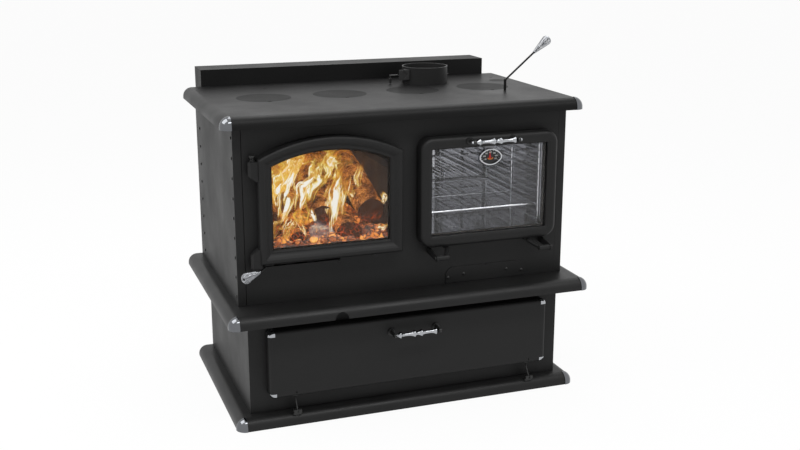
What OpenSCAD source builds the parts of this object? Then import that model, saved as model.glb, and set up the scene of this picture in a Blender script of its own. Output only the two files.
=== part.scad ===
// Wood-burning cookstove with an arched glass firebox door, a drop-down glass oven
// door, a storage plinth with its own drop-down door, four lift-off cooking lids,
// a flue collar with a butterfly damper, an oven bypass lever and an air slide.
// Millimetres, +Z up, -Y is the front.  The origin is on the floor, in the middle
// of the stove's plan.  Every part of the front is placed by its distance from the
// straight back edge of the three rolled plates.

/* [Plates] */
// width of the cooktop plate
cooktop_width = 1120; // [950:1:1300]
// depth of the cooktop plate, back edge to front edge
cooktop_depth = 645; // [560:1:760]
// height of the cooking surface above the floor
cooktop_height = 930; // [850:1:1020]
// thickness of the cooktop plate
cooktop_plate = 10; // [8:0.5:12]
// width of the shelf between the body and the plinth
shelf_width = 1140; // [960:1:1320]
// depth of the shelf
shelf_depth = 703; // [640:1:820]
// height of the shelf's upper face above the floor
shelf_height = 367; // [330:1:400]
// width of the base plate
base_width = 1100; // [940:1:1300]
// depth of the base plate
base_depth = 660; // [600:1:780]
// height of the base plate's upper face above the floor
base_height = 34; // [32:1:45]
// thickness of the shelf and base plates
plate = 5; // [3:0.5:6]
// height of a plate's rolled edge, from its upper face to its lower lip
edge_height = 35; // [32:1:45]
// radius of the rolled edge, in section and at the corners
edge_radius = 28; // [18:1:30]
// wall of the rolled edge
edge_wall = 5; // [3:0.5:6]
// wall of the bright corner caps
cap_wall = 1.7; // [1:0.1:2.5]

/* [Body] */
// width of the upper body
body_width = 1046; // [900:1:1100]
// distance of the front panel's face from the plates' back edge
body_depth = 593; // [560:1:620]
// width of the plinth
plinth_width = 1004; // [880:1:1060]
// distance of the plinth's front face from the plates' back edge
plinth_depth = 610; // [560:1:630]
// how far the back panels stand in from the plates' back edge
back_inset = 7; // [3:1:20]
// sheet thickness of the side and back panels
sheet = 3; // [2:0.5:4]
// thickness of the front panel
panel = 6; // [4:0.5:8]
// width of the side panels' front flange
flange = 24; // [18:1:32]
// open seam between the left side flange and the front panel
seam = 1.5; // [1:0.1:3]
// rows of screws in each side panel
screw_rows = 9; // [5:1:12]
// distance between the screw rows
screw_pitch = 58.5; // [40:0.5:60]

/* [Firebox] */
// sideways position of the firebox and its door
fire_x = -243; // [-260:1:-225]
// width of the firebox door
fire_door_width = 434; // [380:1:450]
// height of the firebox door's straight sides
fire_door_side = 310; // [260:1:330]
// rise of the door's arched head above its straight sides
fire_door_rise = 53; // [30:1:70]
// height of the firebox door's lower edge above the floor
fire_door_bottom = 496; // [490:1:520]
// width of the firebox door's moulded frame
fire_frame = 40; // [36:1:50]
// depth of both doors in front of the panel
door_depth = 42; // [36:1:48]
// width of the firebox shell, outside
firebox_width = 466; // [430:1:480]
// thickness of the firebricks
brick = 32; // [25:1:40]
// thickness of the door glasses
glass = 5; // [4:0.5:6]
// radius of the firebox door's hinge pins
fire_pin = 5; // [4:0.5:6]

/* [Oven] */
// sideways position of the oven and its door
oven_x = 254; // [240:1:265]
// width of the oven door
oven_door_width = 452; // [400:1:460]
// height of the oven door
oven_door_height = 338; // [300:1:345]
// height of the oven door's lower edge above the floor
oven_door_bottom = 497; // [490:1:510]
// corner radius of the oven door
oven_corner = 40; // [38:1:60]
// width of the oven door's frame
oven_frame = 36; // [30:1:37]
// inside depth of the oven behind the front panel
oven_depth = 425; // [360:1:450]
// levels of rack wires on each oven wall
rack_levels = 12; // [6:1:12]
// distance of the lowest guide wire from the oven's floor
guide_low = 17; // [10:1:30]
// distance of the highest guide wire from the oven's ceiling
guide_high = 23; // [14:1:30]
// level that the rack lies on, counted from the lowest
rack_on = 2; // [0:1:5]
// number of wires that run from the front to the back of the rack
rack_wires = 17; // [8:1:20]
// distance of the oven hinge axis in front of the panel
oven_axis_out = 78; // [70:1:90]
// distance of the oven hinge axis below the door's lower edge
oven_axis_drop = 20.5; // [18:0.5:40]
// distance from the door's middle to each hinge arm
oven_arm_x = 158; // [120:1:175]

/* [Storage door] */
// width of the storage door
store_width = 900; // [760:1:940]
// height of the storage door
store_height = 210; // [170:1:225]
// height of the storage door's lower edge above the floor
store_bottom = 87; // [80:1:100]
// depth of the storage door in front of the plinth
store_depth = 38; // [30:1:42]
// corner radius of the storage door
store_corner = 18; // [16:1:30]
// width of the bright trims on the storage door's corners
trim_width = 20; // [12:0.5:40]
// height of the bright trims
trim_height = 15.5; // [10:0.5:40]
// distance of each storage hinge from the pair's middle
store_hinge_x = 381; // [300:1:400]
// sideways position of the storage hinges' middle
store_hinge_mid = 12; // [-20:1:20]
// radius of the storage door's hinge rods
store_rod = 2; // [1.5:0.1:4]
// height of the storage hinge axis above the floor
store_axis_z = 43; // [41:1:50]

/* [Handles] */
// distance between the two posts of a door handle
post_spacing = 144; // [130:1:180]
// distance of the grip's axis in front of the door's face
grip_out = 38; // [34:1:45]
// radius of the grip's bulges
grip_radius = 11; // [9:0.5:12]
// length of a spring grip
coil_length = 70; // [50:1:90]
// largest radius of a spring grip
coil_radius = 16; // [10:0.5:20]

/* [Cooktop fittings] */
// sideways distance between two cooking lids
lid_pitch = 243; // [200:1:260]
// radius of a cooking lid
lid_radius = 84; // [70:1:95]
// distance of the lids' centres from the back edge
lid_back = 306; // [290:1:330]
// sideways position of the flue collar
flue_x = 225; // [210:1:240]
// distance of the flue collar's centre from the back edge
flue_back = 147.5; // [130:0.5:160]
// outer radius of the flue collar
flue_radius = 76.2; // [63.5:0.1:88.9]
// wall of the flue collar
flue_wall = 4; // [3:0.5:6]
// height of the flue collar above the cooktop
flue_height = 56; // [50:1:90]
// height of the damper shaft above the cooktop
damper_up = 24; // [22:1:34]
// radius of the damper shaft
damper_shaft = 3; // [2.5:0.1:4]
// how deep the stovepipe drops into the collar
pipe_depth = 16; // [10:1:20]
// sideways position of the inspection plug
plug_x = 476; // [460:1:490]
// distance of the inspection plug from the back edge
plug_back = 187; // [170:1:200]
// radius of the inspection plug
plug_radius = 29; // [20:0.5:34]
// sideways position of the bypass lever
lever_x = 398; // [380:1:410]
// distance of the bypass lever from the back edge
lever_back = 412; // [405:1:430]
// radius of the bypass lever's rod
lever_radius = 4.2; // [3.5:0.1:6]
// radius of the rod inside the spring grips
handle_rod = 3; // [2:0.1:3.4]
// depth of the rear heat shield behind the back edge
shield_depth = 111; // [80:1:140]
// width of the rear heat shield
shield_width = 1000; // [860:1:1060]
// height of the heat shield above the cooktop
shield_up = 54; // [30:1:120]

/* [Air control] */
// distance of the air slot's left end inside the firebox door's left edge
air_in = 14; // [5:1:30]
// length of the air slot
air_length = 234; // [180:1:260]
// height of the air slot's middle above the floor
air_z = 482.5; // [474:0.5:484]
// height of the air slot
air_slot = 5; // [4.6:0.1:10]
// radius of the stem in the air slot
air_stem = 1.9; // [1.5:0.1:2]

/* [Soot cover] */
// width of the plate over the soot clean-out
soot_width = 264; // [180:1:300]
// height of that plate
soot_height = 51; // [46:1:60]
// radius of its upper corners
soot_corner = 26; // [10:1:40]

/* [Fits] */
// gap between a seated piece and its seat
seat = 0.3; // [0.2:0.05:0.5]
// radial running clearance of a turning shaft
run = 0.06; // [0.03:0.01:0.1]

/* [Hidden] */
$fn = 64;
eps = 0.01;
rear = (shelf_depth + seat + cap_wall - shield_depth) / 2;
cook_under = cooktop_height - cooktop_plate;
shelf_under = shelf_height - plate;
arch_r = (pow(fire_door_width / 2, 2) + pow(fire_door_rise, 2)) / (2 * fire_door_rise);
arch_c = fire_door_side + fire_door_rise - arch_r;
fire_left = fire_x - fire_door_width / 2;
air_left = fire_left + air_in;
pin_x = fire_left - 12;
pin_d = body_depth + 20;
oven_axis_d = body_depth + oven_axis_out;
oven_axis_z = oven_door_bottom - oven_axis_drop;
store_axis_d = plinth_depth + 42;
collar_in = flue_radius - flue_wall;
ledge_in = collar_in - 4;
vane_r = ledge_in - 2;
shaft_z = cooktop_height + damper_up;
pipe_stop = cooktop_height + flue_height - pipe_depth;
glass_back = 19;

// Choose one node to show alone

// ---------- helpers ----------

// puts a drawing in front-view axes: X right, Y up, Z forward of distance d
module front(x, d, z) {
    translate([x, rear - d, z])
        rotate([90, 0, 0])
            children();
}

// round bar between two points, with round ends if asked
module bar(p, q, r, ends = false) {
    v = q - p;
    l = norm(v);
    translate(p)
        rotate([0, acos(v[2] / l), atan2(v[1], v[0])])
            cylinder(h = l, r = r);
    if (ends) {
        translate(p)
            sphere(r = r + 0.15);
        translate(q)
            sphere(r = r + 0.15);
    }
}

// a point given by its X, forward distance and height
function at(x, d, z) = [x, rear - d, z];

// section of a rolled edge: x outward from the flat's edge, y up to the top face
module roll_section(grow = 0, wall = edge_wall) {
    difference() {
        union() {
            translate([-eps, -edge_height])
                square([edge_radius + grow + eps, edge_height - edge_radius]);
            translate([-eps, -edge_radius])
                intersection() {
                    circle(r = edge_radius + grow);
                    square([200, 200]);
                }
        }
        translate([-1, -edge_height - 1])
            square([edge_radius + grow - wall + 1, edge_height - edge_radius + 1]);
        translate([0, -edge_radius]) circle(r = edge_radius + grow - wall);
        translate([-edge_radius * 2, -edge_height - 1])
            square([edge_radius * 2, edge_height - plate + 1]);
    }
}

// a plate with its front and both sides rolled down, top face at z = 0
module rolled_plate(w, dp, t) {
    fx = w / 2 - edge_radius;
    fd = dp - edge_radius;
    translate([-fx - eps, rear - fd - eps, -t]) cube([2 * (fx + eps), fd + eps, t]);
    translate([-fx, rear - fd, 0])
        rotate([90, 0, 90])
            linear_extrude(height = 2 * fx)
                mirror([1, 0])
                    roll_section();
    for (s = [-1, 1]) {
        translate([s * fx, rear, 0])
            rotate([90, 0, 0])
                linear_extrude(height = fd)
                    mirror([s < 0 ? 1 : 0, 0])
                        roll_section();
        translate([s * fx, rear - fd, 0])
            rotate([0, 0, s < 0 ? 180 : 270])
                rotate_extrude(angle = 90)
                    corner_section();
    }
}

// the rolled edge's section for the corner's revolve: no part left of the axis
module corner_section() {
    intersection() {
        roll_section();
        translate([0, -100]) square([200, 200]);
    }
}

// bright caps over both front corners of a rolled plate
module corner_caps(w, dp, z) {
    fx = w / 2 - edge_radius;
    fd = dp - edge_radius;
    for (s = [-1, 1])
        translate([s * fx, rear - fd, z])
            rotate([0, 0, s < 0 ? 180 : 270])
                rotate_extrude(angle = 90)
                    cap_section();
}

// section of a corner cap: a thin skin outside the rolled edge
module cap_section() {
    intersection() {
        difference() {
            union() {
                translate([0, -edge_height])
                    square([edge_radius + seat + cap_wall, edge_height - edge_radius]);
                translate([0, -edge_radius]) circle(r = edge_radius + seat + cap_wall);
            }
            translate([0, -edge_height - 1])
                square([edge_radius + seat, edge_height - edge_radius + 1]);
            translate([0, -edge_radius]) circle(r = edge_radius + seat);
        }
        translate([0, -edge_height]) square([200, 200]);
    }
}

// rectangle with rounded corners, centred on x, standing on y = 0
module rounded(w, h, r) {
    translate([-w / 2 + r, 0]) square([w - 2 * r, h]);
    translate([-w / 2, r]) square([w, h - 2 * r]);
    for (x = [-w / 2 + r, w / 2 - r])
        for (y = [r, h - r])
            translate([x, y]) circle(r = r);
}

// outline of the firebox door, drawn in by g on every side
module arch(g) {
    hw = fire_door_width / 2 - g;
    intersection() {
        translate([-hw, g]) square([2 * hw, fire_door_side + fire_door_rise]);
        union() {
            translate([0, arch_c]) circle(r = arch_r - g, $fn = 180);
            translate([-hw, g]) square([2 * hw, fire_door_side * 0.7]);
        }
    }
}

// ring of moulding round a rounded rectangle: children(0) is its section,
// x inward from the outer edge and y forward
module rail_ring(w, h, r) {
    for (s = [0, 1]) {
        // uprights
        mirror([s, 0, 0])
            translate([-w / 2, h - r, 0])
                rotate([90, 0, 0])
                    linear_extrude(height = h - 2 * r)
                        children(0);
        // lower and upper rails
        translate([0, h / 2, 0])
            mirror([0, s, 0])
                translate([-w / 2 + r, -h / 2, 0])
                    rotate([90, 0, 90])
                        linear_extrude(height = w - 2 * r)
                            children(0);
        // corners
        for (t = [0, 1])
            translate([0, h / 2, 0])
                mirror([0, t, 0])
                    mirror([s, 0, 0])
                        translate([-w / 2 + r, -h / 2 + r, 0])
                            rotate([0, 0, 180])
                                rotate_extrude(angle = 90)
                                    translate([r, 0])
                                        mirror([1, 0])
                                            children(0);
    }
}

// turned handle grip along X, centred on the origin: four sharp-edged beads
module grip() {
    g = grip_radius;
    h = post_spacing / 2 - post_head / 2 - seat;
    half = [[3, -h], [4, -h + 2.5], [g, -h + 10], [g, -h + 11.5], [6.5, -h + 18], [5, -h + 25],
        [5, -34], [5.6, -24], [7.5, -18], [g, -12], [g, -10.5], [7, -4]];
    rotate([0, 90, 0])
        rotate_extrude()
            polygon(concat([[0, -h]], half, [[5.6, 0]],
                [for (i = [len(half) - 1:-1:0]) [half[i][0], -half[i][1]]], [[0, h]]));
}

post_head = 8;

// the two posts of a handle, from the door's face out to an eye at the grip's axis
module posts() {
    for (s = [-1, 1])
        translate([s * post_spacing / 2, 0, 0]) {
            translate([0, 0, seat]) cylinder(h = 5, r = 11);
            cylinder(h = grip_out - 2, r1 = 7, r2 = post_head / 2 - 0.2);
            translate([-post_head / 2, 0, grip_out])
                rotate([0, 90, 0]) cylinder(h = post_head, r = 6.5);
        }
}

// bright half balls on the outer ends of a handle's posts
module post_balls() {
    for (s = [0, 1])
        mirror([s, 0, 0])
            intersection() {
                translate([post_spacing / 2 + post_head / 2 + seat + 1.8, 0, 0])
                    sphere(r = 4.7);
                translate([post_spacing / 2 + post_head / 2 + seat, -10, -10])
                    cube([20, 20, 20]);
            }
}

// grip wound from spring wire, along +Z from its narrow end: a cone and a domed end
module teardrop(l, r0, r1) {
    k = 0.8;
    c = l - r1 * k;
    a = asin((r1 - r0) / c);
    n = 14;
    x1 = r1 * cos(a);
    z1 = c - r1 * k * sin(a);
    rotate_extrude()
        polygon(concat([[0, 0]],
            [for (i = [0:n]) [r0 + (x1 - r0) * i / n - (i % 2 == 0 ? 0 : 0.9), z1 * i / n]],
            [for (t = [0:15:75]) [r1 * cos(t), c + r1 * k * sin(t)]], [[0, l]]));
}

// ---------- plinth ----------

module base_plate() {
    color("#262626")
        translate([0, 0, base_height])
            intersection() {
                rolled_plate(base_width, base_depth, plate);
                // the lip stands on the floor
                translate([-base_width, -base_depth * 2, -base_height])
                    cube([base_width * 2, base_depth * 4, base_height + 10]);
            }
}

module base_corner_caps() {
    color("#b8babc")
        intersection() {
            corner_caps(base_width, base_depth, base_height);
            translate([-base_width, -base_depth * 2, 0])
                cube([base_width * 2, base_depth * 4, base_height + 10]);
        }
}

// side and back sheets of the plinth
module plinth_panels() {
    color("#262626") {
        for (s = [-1, 1])
            translate([s * (plinth_width / 2 - sheet / 2) - sheet / 2,
                rear - plinth_depth + sheet, base_height])
                cube([sheet, plinth_depth - back_inset - 2 * sheet, shelf_under - base_height]);
        translate([-plinth_width / 2, rear - back_inset - sheet, base_height])
            cube([plinth_width, sheet, shelf_under - base_height]);
    }
}

// front sheet of the plinth with the storage opening in it
module plinth_front() {
    color("#262626")
        difference() {
            translate([-plinth_width / 2, rear - plinth_depth, base_height])
                cube([plinth_width, sheet, shelf_under - base_height]);
            front(0, plinth_depth + 1, store_bottom + 14)
                translate([0, 0, -sheet - 2])
                    linear_extrude(height = sheet + 3)
                        rounded(store_width - 32, store_height - 28, 8);
        }
}

// raised floor of the storage compartment, folded down at its front and back
module storage_floor() {
    w = plinth_width - 2 * sheet - 1;
    color("#262626")
        translate([-w / 2, rear - plinth_depth + sheet, 0]) {
            translate([0, 0, store_bottom + 4])
                cube([w, plinth_depth - back_inset - 2 * sheet, 2]);
            for (d = [0, plinth_depth - back_inset - 2 * sheet - 2])
                translate([0, d, base_height]) cube([w, 2, store_bottom + 6 - base_height]);
        }
}

// ---------- shelf ----------

module shelf_plate() {
    color("#262626")
        difference() {
            translate([0, 0, shelf_height])
                rolled_plate(shelf_width, shelf_depth, plate);
            // half-round notch in the front lip, left of the middle
            front(fire_x + 2, shelf_depth + 10, shelf_height - edge_height)
                translate([0, 0, -30]) cylinder(h = 40, r = 21);
        }
}

module shelf_corner_caps() {
    color("#b8babc")
        corner_caps(shelf_width, shelf_depth, shelf_height);
}

// ---------- body ----------

function screw_z(i) = shelf_height + 28 + screw_pitch * i;

// screws of the soot cover, from its middle and its lower edge
soot_screws = [[-125, 19], [-73, 27], [73, 27], [125, 19]];
stop_x = air_left + air_length - 3;
stop_z = air_z - 8.5;
// screws in the cooktop: sideways, and from the back edge
cook_screws = [[-315, 113], [-175, 117], [484, 113]];

module body_side(s) {
    difference() {
        union() {
            translate([s * (body_width / 2 - sheet / 2) - sheet / 2, rear - body_depth, shelf_height])
                cube([sheet, body_depth - back_inset - sheet, cook_under - shelf_height]);
            translate([s * (body_width / 2 - flange / 2) - flange / 2, rear - body_depth, shelf_height])
                cube([flange, sheet, cook_under - shelf_height]);
        }
        for (i = [0:screw_rows - 1])
            for (d = [body_depth - 17, 66])
                translate([s * body_width / 2, rear - d, screw_z(i)])
                    rotate([0, 90, 0]) cylinder(h = 20, r = 2.2 + seat, center = true, $fn = 24);
    }
}

// flanged side panels of the body
module body_sides() {
    color("#262626") {
        body_side(-1);
        body_side(1);
    }
}

module body_back() {
    color("#262626")
        difference() {
            translate([-body_width / 2, rear - back_inset - sheet, shelf_height])
                cube([body_width, sheet, cook_under - shelf_height]);
            // cooling slots behind the heat shield
            for (x = [-360:120:360])
                front(x, back_inset + sheet + 1, shelf_height + 60)
                    translate([0, 0, -sheet - 2])
                        linear_extrude(height = sheet + 4)
                            rounded(70, 12, 5.8);
        }
}

module front_panel() {
    w = body_width - 2 * flange - seam - seat;
    color("#262626")
        difference() {
            // the seam beside the right flange is closed up
            translate([-body_width / 2 + flange + seam, rear - body_depth, shelf_height])
                cube([w, panel, cook_under - shelf_height]);
            // firebox opening
            front(fire_x, body_depth + 1, fire_door_bottom)
                translate([0, 0, -panel - 2])
                    linear_extrude(height = panel + 3)
                        arch(fire_frame - 6);
            // oven opening
            front(oven_x, body_depth + 1, oven_door_bottom + oven_frame - 4)
                translate([0, 0, -panel - 2])
                    linear_extrude(height = panel + 3)
                        rounded(oven_door_width - 2 * oven_frame + 8,
                            oven_door_height - 2 * oven_frame + 8, 6);
            // air slot
            front(air_left + air_length / 2, body_depth + 1, air_z - air_slot / 2)
                translate([0, 0, -panel - 2])
                    linear_extrude(height = panel + 3)
                        rounded(air_length, air_slot, air_slot / 2 - 0.1);
            front(stop_x, body_depth + 1, stop_z)
                translate([0, 0, -9]) cylinder(h = 10, r = 2.2 + seat, $fn = 24);
            // soot clean-out under the oven
            front(oven_x + 4, body_depth + 1, shelf_height + 8)
                translate([0, 0, -panel - 2])
                    linear_extrude(height = panel + 3)
                        rounded(116, 32, 6);
            for (p = soot_screws)
                front(oven_x + 4 + p[0], body_depth + 1, shelf_height + 1 + p[1])
                    translate([0, 0, -9]) cylinder(h = 10, r = 2.2 + seat, $fn = 24);
        }
}

// every screw head and shank: side panels, soot cover and cooktop
module screws() {
    color("#303030") {
        for (s = [-1, 1])
            for (i = [0:screw_rows - 1])
                for (d = [body_depth - 17, 66])
                    translate([s * body_width / 2, rear - d, screw_z(i)])
                        rotate([0, s * 90, 0])
                            screw(4.6);
        for (p = soot_screws)
            front(oven_x + 4 + p[0], body_depth + sheet, shelf_height + 1 + p[1])
                domed_screw(5);
        // stop screw near the air slot's right end
        front(stop_x, body_depth, stop_z)
            domed_screw(3.6);
        for (p = cook_screws)
            translate([p[0], rear - p[1], cooktop_height - 3.5])
                screw(4);
    }
}

// one screw: flat-topped head outside, shank inward
module screw(r) {
    translate([0, 0, seat / 2]) cylinder(h = 1.6, r = r, $fn = 24);
    translate([0, 0, seat / 2 + 1.6 - eps]) cylinder(h = 1.2, r1 = r, r2 = r * 0.6, $fn = 24);
    translate([0, 0, -5]) cylinder(h = 5.5, r = 2.2, $fn = 24);
}

// one screw with a domed head
module domed_screw(r) {
    h = r * 0.68;
    translate([0, 0, seat / 2])
        rotate_extrude()
            polygon(concat([[0, 0]], [for (t = [0:15:75]) [r * cos(t), h * sin(t)]], [[0, h]]));
    translate([0, 0, -5]) cylinder(h = 5.5, r = 2.2, $fn = 24);
}

// ---------- cooktop ----------

function lid_x(i) = (i - 1.5) * lid_pitch + 1.5;

module cooktop() {
    color("#2a2a2a")
        difference() {
            translate([0, 0, cooktop_height])
                rolled_plate(cooktop_width, cooktop_depth, cooktop_plate);
            for (i = [0:3])
                translate([lid_x(i), rear - lid_back, 0]) {
                    translate([0, 0, cook_under - 1]) cylinder(h = 30, r = lid_radius - 6);
                    translate([0, 0, cooktop_height - 6])
                        cylinder(h = 30, r = lid_radius + 0.5);
                }
            translate([flue_x, rear - flue_back, cook_under - 1])
                cylinder(h = 30, r = flue_radius + seat);
            translate([lever_x, rear - lever_back, cook_under - 1])
                cylinder(h = 30, r = lever_radius + 4 + seat);
            translate([plug_x, rear - plug_back, cook_under - 1])
                cylinder(h = 30, r = plug_radius - 6);
            translate([plug_x, rear - plug_back, cooktop_height - 5])
                cylinder(h = 30, r = plug_radius + seat);
            for (p = cook_screws) {
                translate([p[0], rear - p[1], cooktop_height - 3.5])
                    cylinder(h = 10, r = 4 + seat, $fn = 24);
                translate([p[0], rear - p[1], cooktop_height - 9.5])
                    cylinder(h = 10, r = 2.2 + seat, $fn = 24);
            }
        }
}

module cooktop_corner_caps() {
    color("#b8babc")
        corner_caps(cooktop_width, cooktop_depth, cooktop_height);
}

// lift-off lid with a lifter pocket at its front edge
module lid(i) {
    color("#1e1e1e")
        translate([lid_x(i), rear - lid_back, 0])
            difference() {
                translate([0, 0, cooktop_height - 6 + seat])
                    cylinder(h = 6 - seat, r = lid_radius);
                translate([-6, -lid_radius - 1, cooktop_height - 3.5]) cube([12, 8, 10]);
            }
}

module inspection_plug() {
    color("#1e1e1e")
        translate([plug_x, rear - plug_back, cooktop_height - 5 + seat]) {
            cylinder(h = 5 - seat, r = plug_radius);
            translate([0, 0, -8]) cylinder(h = 8 + eps, r = plug_radius - 6.5);
        }
}

// flush bushing, its flange under the cooktop
module lever_bushing() {
    color("#3a3a3a")
        translate([lever_x, rear - lever_back, cook_under - 5])
            difference() {
                union() {
                    cylinder(h = cooktop_plate + 5, r = lever_radius + 4);
                    cylinder(h = 5, r = lever_radius + 9);
                }
                translate([0, 0, -1]) cylinder(h = 30, r = lever_radius + run);
            }
}

// folded sheet box behind the cooktop, open below
module rear_heat_shield() {
    w = shield_width;
    z0 = shelf_height + 60;
    h = cooktop_height + shield_up - z0;
    t = 2.5;
    color("#262626")
        difference() {
            union() {
                translate([-w / 2, rear + shield_depth - t, z0]) cube([w, t, h]);
                for (s = [-1, 1]) {
                    translate([s * (w / 2 - t / 2) - t / 2, rear + 0.5, z0])
                        cube([t, shield_depth - 0.5, h]);
                    translate([s * (w / 2 - 13) - 13, rear + 0.5, z0]) cube([26, t, h]);
                }
                translate([-w / 2, rear + 0.5, z0 + h - t]) cube([w, shield_depth - 0.5, t]);
                translate([-w / 2, rear + 0.5, cooktop_height - 25])
                    cube([w, t, shield_up + 25]);
                // stand-offs to the body's back
                for (s = [-1, 1])
                    for (z = [z0 + 60, cook_under - 60])
                        translate([s * (w / 2 - 15), rear + 0.5, z])
                            rotate([90, 0, 0]) cylinder(h = back_inset + 0.5, r = 8, $fn = 32);
            }
            for (x = [-400:100:400])
                for (z = [z0 + 40, z0 + h - 90])
                    translate([x - 30, rear + shield_depth - 10, z]) cube([60, 20, 12]);
        }
}

// ---------- flue ----------

// stub that takes the pipe's end above an inner stop ring
module flue_collar() {
    color("#2e2e2e")
        translate([flue_x, rear - flue_back, 0])
            difference() {
                union() {
                    translate([0, 0, cook_under - 4])
                        cylinder(h = flue_height + cooktop_plate + 4, r = flue_radius, $fn = 96);
                    translate([0, 0, cook_under - 4])
                        cylinder(h = 4 - 0.05, r = flue_radius + 14, $fn = 96);
                }
                translate([0, 0, cook_under - 10]) cylinder(h = 200, r = ledge_in, $fn = 96);
                translate([0, 0, pipe_stop]) cylinder(h = 200, r = collar_in, $fn = 96);
                translate([0, 0, cook_under - 10])
                    cylinder(h = pipe_stop - 4 - cook_under + 10, r = collar_in, $fn = 96);
                translate([0, 0, shaft_z])
                    rotate([0, 90, 0])
                        cylinder(h = 400, r = damper_shaft + run, center = true, $fn = 48);
            }
}

// bracket on the collar: a square plate with a diamond recess to the front, and
// behind it the cheek that carries the damper's shaft
module damper_bracket() {
    q = flue_radius;
    color("#2e2e2e")
        translate([flue_x, rear - flue_back, shaft_z])
            difference() {
                union() {
                    translate([-q - 28.4, -38, -8.2]) cube([36.6, 3, 33]);
                    translate([-q - 8, -36, -8.2]) cube([4, 44, 16.4]);
                    translate([-q - 5, -36, -8.2]) cube([30, 26, 33]);
                }
                cylinder(h = 100, r = q + seat, center = true, $fn = 96);
                rotate([0, 90, 0])
                    cylinder(h = 400, r = damper_shaft + run, center = true, $fn = 48);
                translate([-q - 10.1, -36.1, 8.3])
                    rotate([90, 0, 0]) cylinder(h = 2.5, r = 12.5, $fn = 4);
            }
}

// shaft through the collar, cranked to a hanging finger grip
module damper_spindle() {
    q = flue_radius;
    color("#303030")
        translate([flue_x, rear - flue_back, shaft_z]) {
            bar([-q - 15, 0, 0], [q + 8, 0, 0], damper_shaft);
            translate([-q - 15, 0, 0]) sphere(r = damper_shaft);
            bar([-q - 15, 0, 0], [-q - 21, 0, 3.6], damper_shaft - 0.3);
            translate([-q - 21, 0, 3.6]) sphere(r = damper_shaft);
            bar([-q - 21, 0, 3.6], [-q - 46, 0, 3.6], damper_shaft - 0.3);
            translate([-q - 46, 0, 3.6]) sphere(r = damper_shaft);
            translate([-q - 46, 0, -6]) cylinder(h = 9.6, r = damper_shaft - 0.3);
            translate([-q - 46, 0, -damper_up + 2.5])
                cylinder(h = damper_up - 8, r1 = 3.6, r2 = 4.4);
        }
}

// round vane on the shaft: shut when it lies level
module damper_vane() {
    color("#303030")
        translate([flue_x, rear - flue_back, shaft_z])
            difference() {
                union() {
                    translate([0, 0, -1.5]) cylinder(h = 3, r = vane_r, $fn = 96);
                    rotate([0, 90, 0]) cylinder(h = 90, r = damper_shaft + 3, center = true);
                }
                rotate([0, 90, 0])
                    cylinder(h = 400, r = damper_shaft + 0.05, center = true, $fn = 48);
                for (s = [-1, 1])
                    translate([0, s * 38, -5]) cylinder(h = 10, r = 9);
            }
}

// ---------- firebox ----------

fb_d1 = body_depth - panel;
fb_d0 = 100;

// welded plate shell: floor, sides and back, its right side low for the smoke
module firebox_shell() {
    x0 = fire_x - firebox_width / 2;
    z0 = fire_door_bottom - 6;
    t = 5;
    color("#1c1c1c") {
        translate([x0, rear - fb_d1, z0]) cube([firebox_width, fb_d1 - fb_d0, t]);
        translate([x0, rear - fb_d1, z0]) cube([t, fb_d1 - fb_d0, cook_under - 30 - z0]);
        translate([x0, rear - fb_d0 - t, z0]) cube([firebox_width, t, cook_under - 30 - z0]);
        translate([x0 + firebox_width - t, rear - fb_d1, z0])
            cube([t, fb_d1 - fb_d0, cook_under - 80 - z0]);
    }
}

// lining of the firebox: floor, both sides and the back, as separate bricks
module firebricks() {
    x0 = fire_x - firebox_width / 2 + 5;
    w = firebox_width - 10;
    z0 = fire_door_bottom - 1;
    dd = fb_d1 - fb_d0 - 5;
    fl = 25;
    n = 4;
    color("#b39b7c") {
        for (i = [0:n - 1])
            for (j = [0:1])
                translate([x0 + j * w / 2 + 0.5, rear - fb_d1 + 1 + i * (dd - 1) / n, z0])
                    cube([w / 2 - 1, (dd - 1) / n - 1, fl]);
        for (i = [0:n - 1])
            for (s = [0, 1])
                translate([x0 + s * (w - brick), rear - fb_d1 + 1 + i * (dd - 1) / n, z0 + fl + 0.5])
                    cube([brick, (dd - 1) / n - 1, 215]);
        for (i = [0:2])
            translate([x0 + brick + 1 + i * (w - 2 * brick - 2) / 3,
                rear - fb_d0 - 5 - brick, z0 + fl + 0.5])
                cube([(w - 2 * brick - 2) / 3 - 1, brick - 0.5, 215]);
    }
}

// insulating board above the air tubes
module baffle() {
    x0 = fire_x - firebox_width / 2 + 6;
    color("#a89f90")
        translate([x0, rear - 480, fire_door_bottom + 330])
            cube([firebox_width - 12, 480 - fb_d0 - 6, 20]);
}

// secondary air tubes across the firebox, each with a row of holes
module air_tubes() {
    x0 = fire_x - firebox_width / 2 + 5.3;
    color("#6c6c6e")
        for (d = [190, 290, 390, 470])
            difference() {
                translate([x0, rear - d, fire_door_bottom + 317])
                    rotate([0, 90, 0])
                        difference() {
                            cylinder(h = firebox_width - 10.6, r = 12.7, $fn = 32);
                            translate([0, 0, -1]) cylinder(h = 1000, r = 11, $fn = 32);
                        }
                for (x = [60:66:400])
                    translate([x0 + x, rear - d, fire_door_bottom + 317])
                        rotate([70, 0, 0]) cylinder(h = 20, r = 3, $fn = 16);
            }
}

// ---------- oven ----------

ov_w = oven_door_width - 2 * oven_frame + 12;
ov_z0 = oven_door_bottom + oven_frame - 8;
ov_h = oven_door_height - 2 * oven_frame + 16;
ov_d0 = body_depth - panel - oven_depth;

// five-sided oven box
module oven_liner() {
    t = 3;
    color("#8c8c90")
        difference() {
            translate([oven_x - ov_w / 2 - t, rear - body_depth + panel, ov_z0 - t])
                cube([ov_w + 2 * t, oven_depth + t, ov_h + 2 * t]);
            translate([oven_x - ov_w / 2, rear - body_depth + panel - 1, ov_z0])
                cube([ov_w, oven_depth + 1, ov_h]);
        }
}

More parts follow.
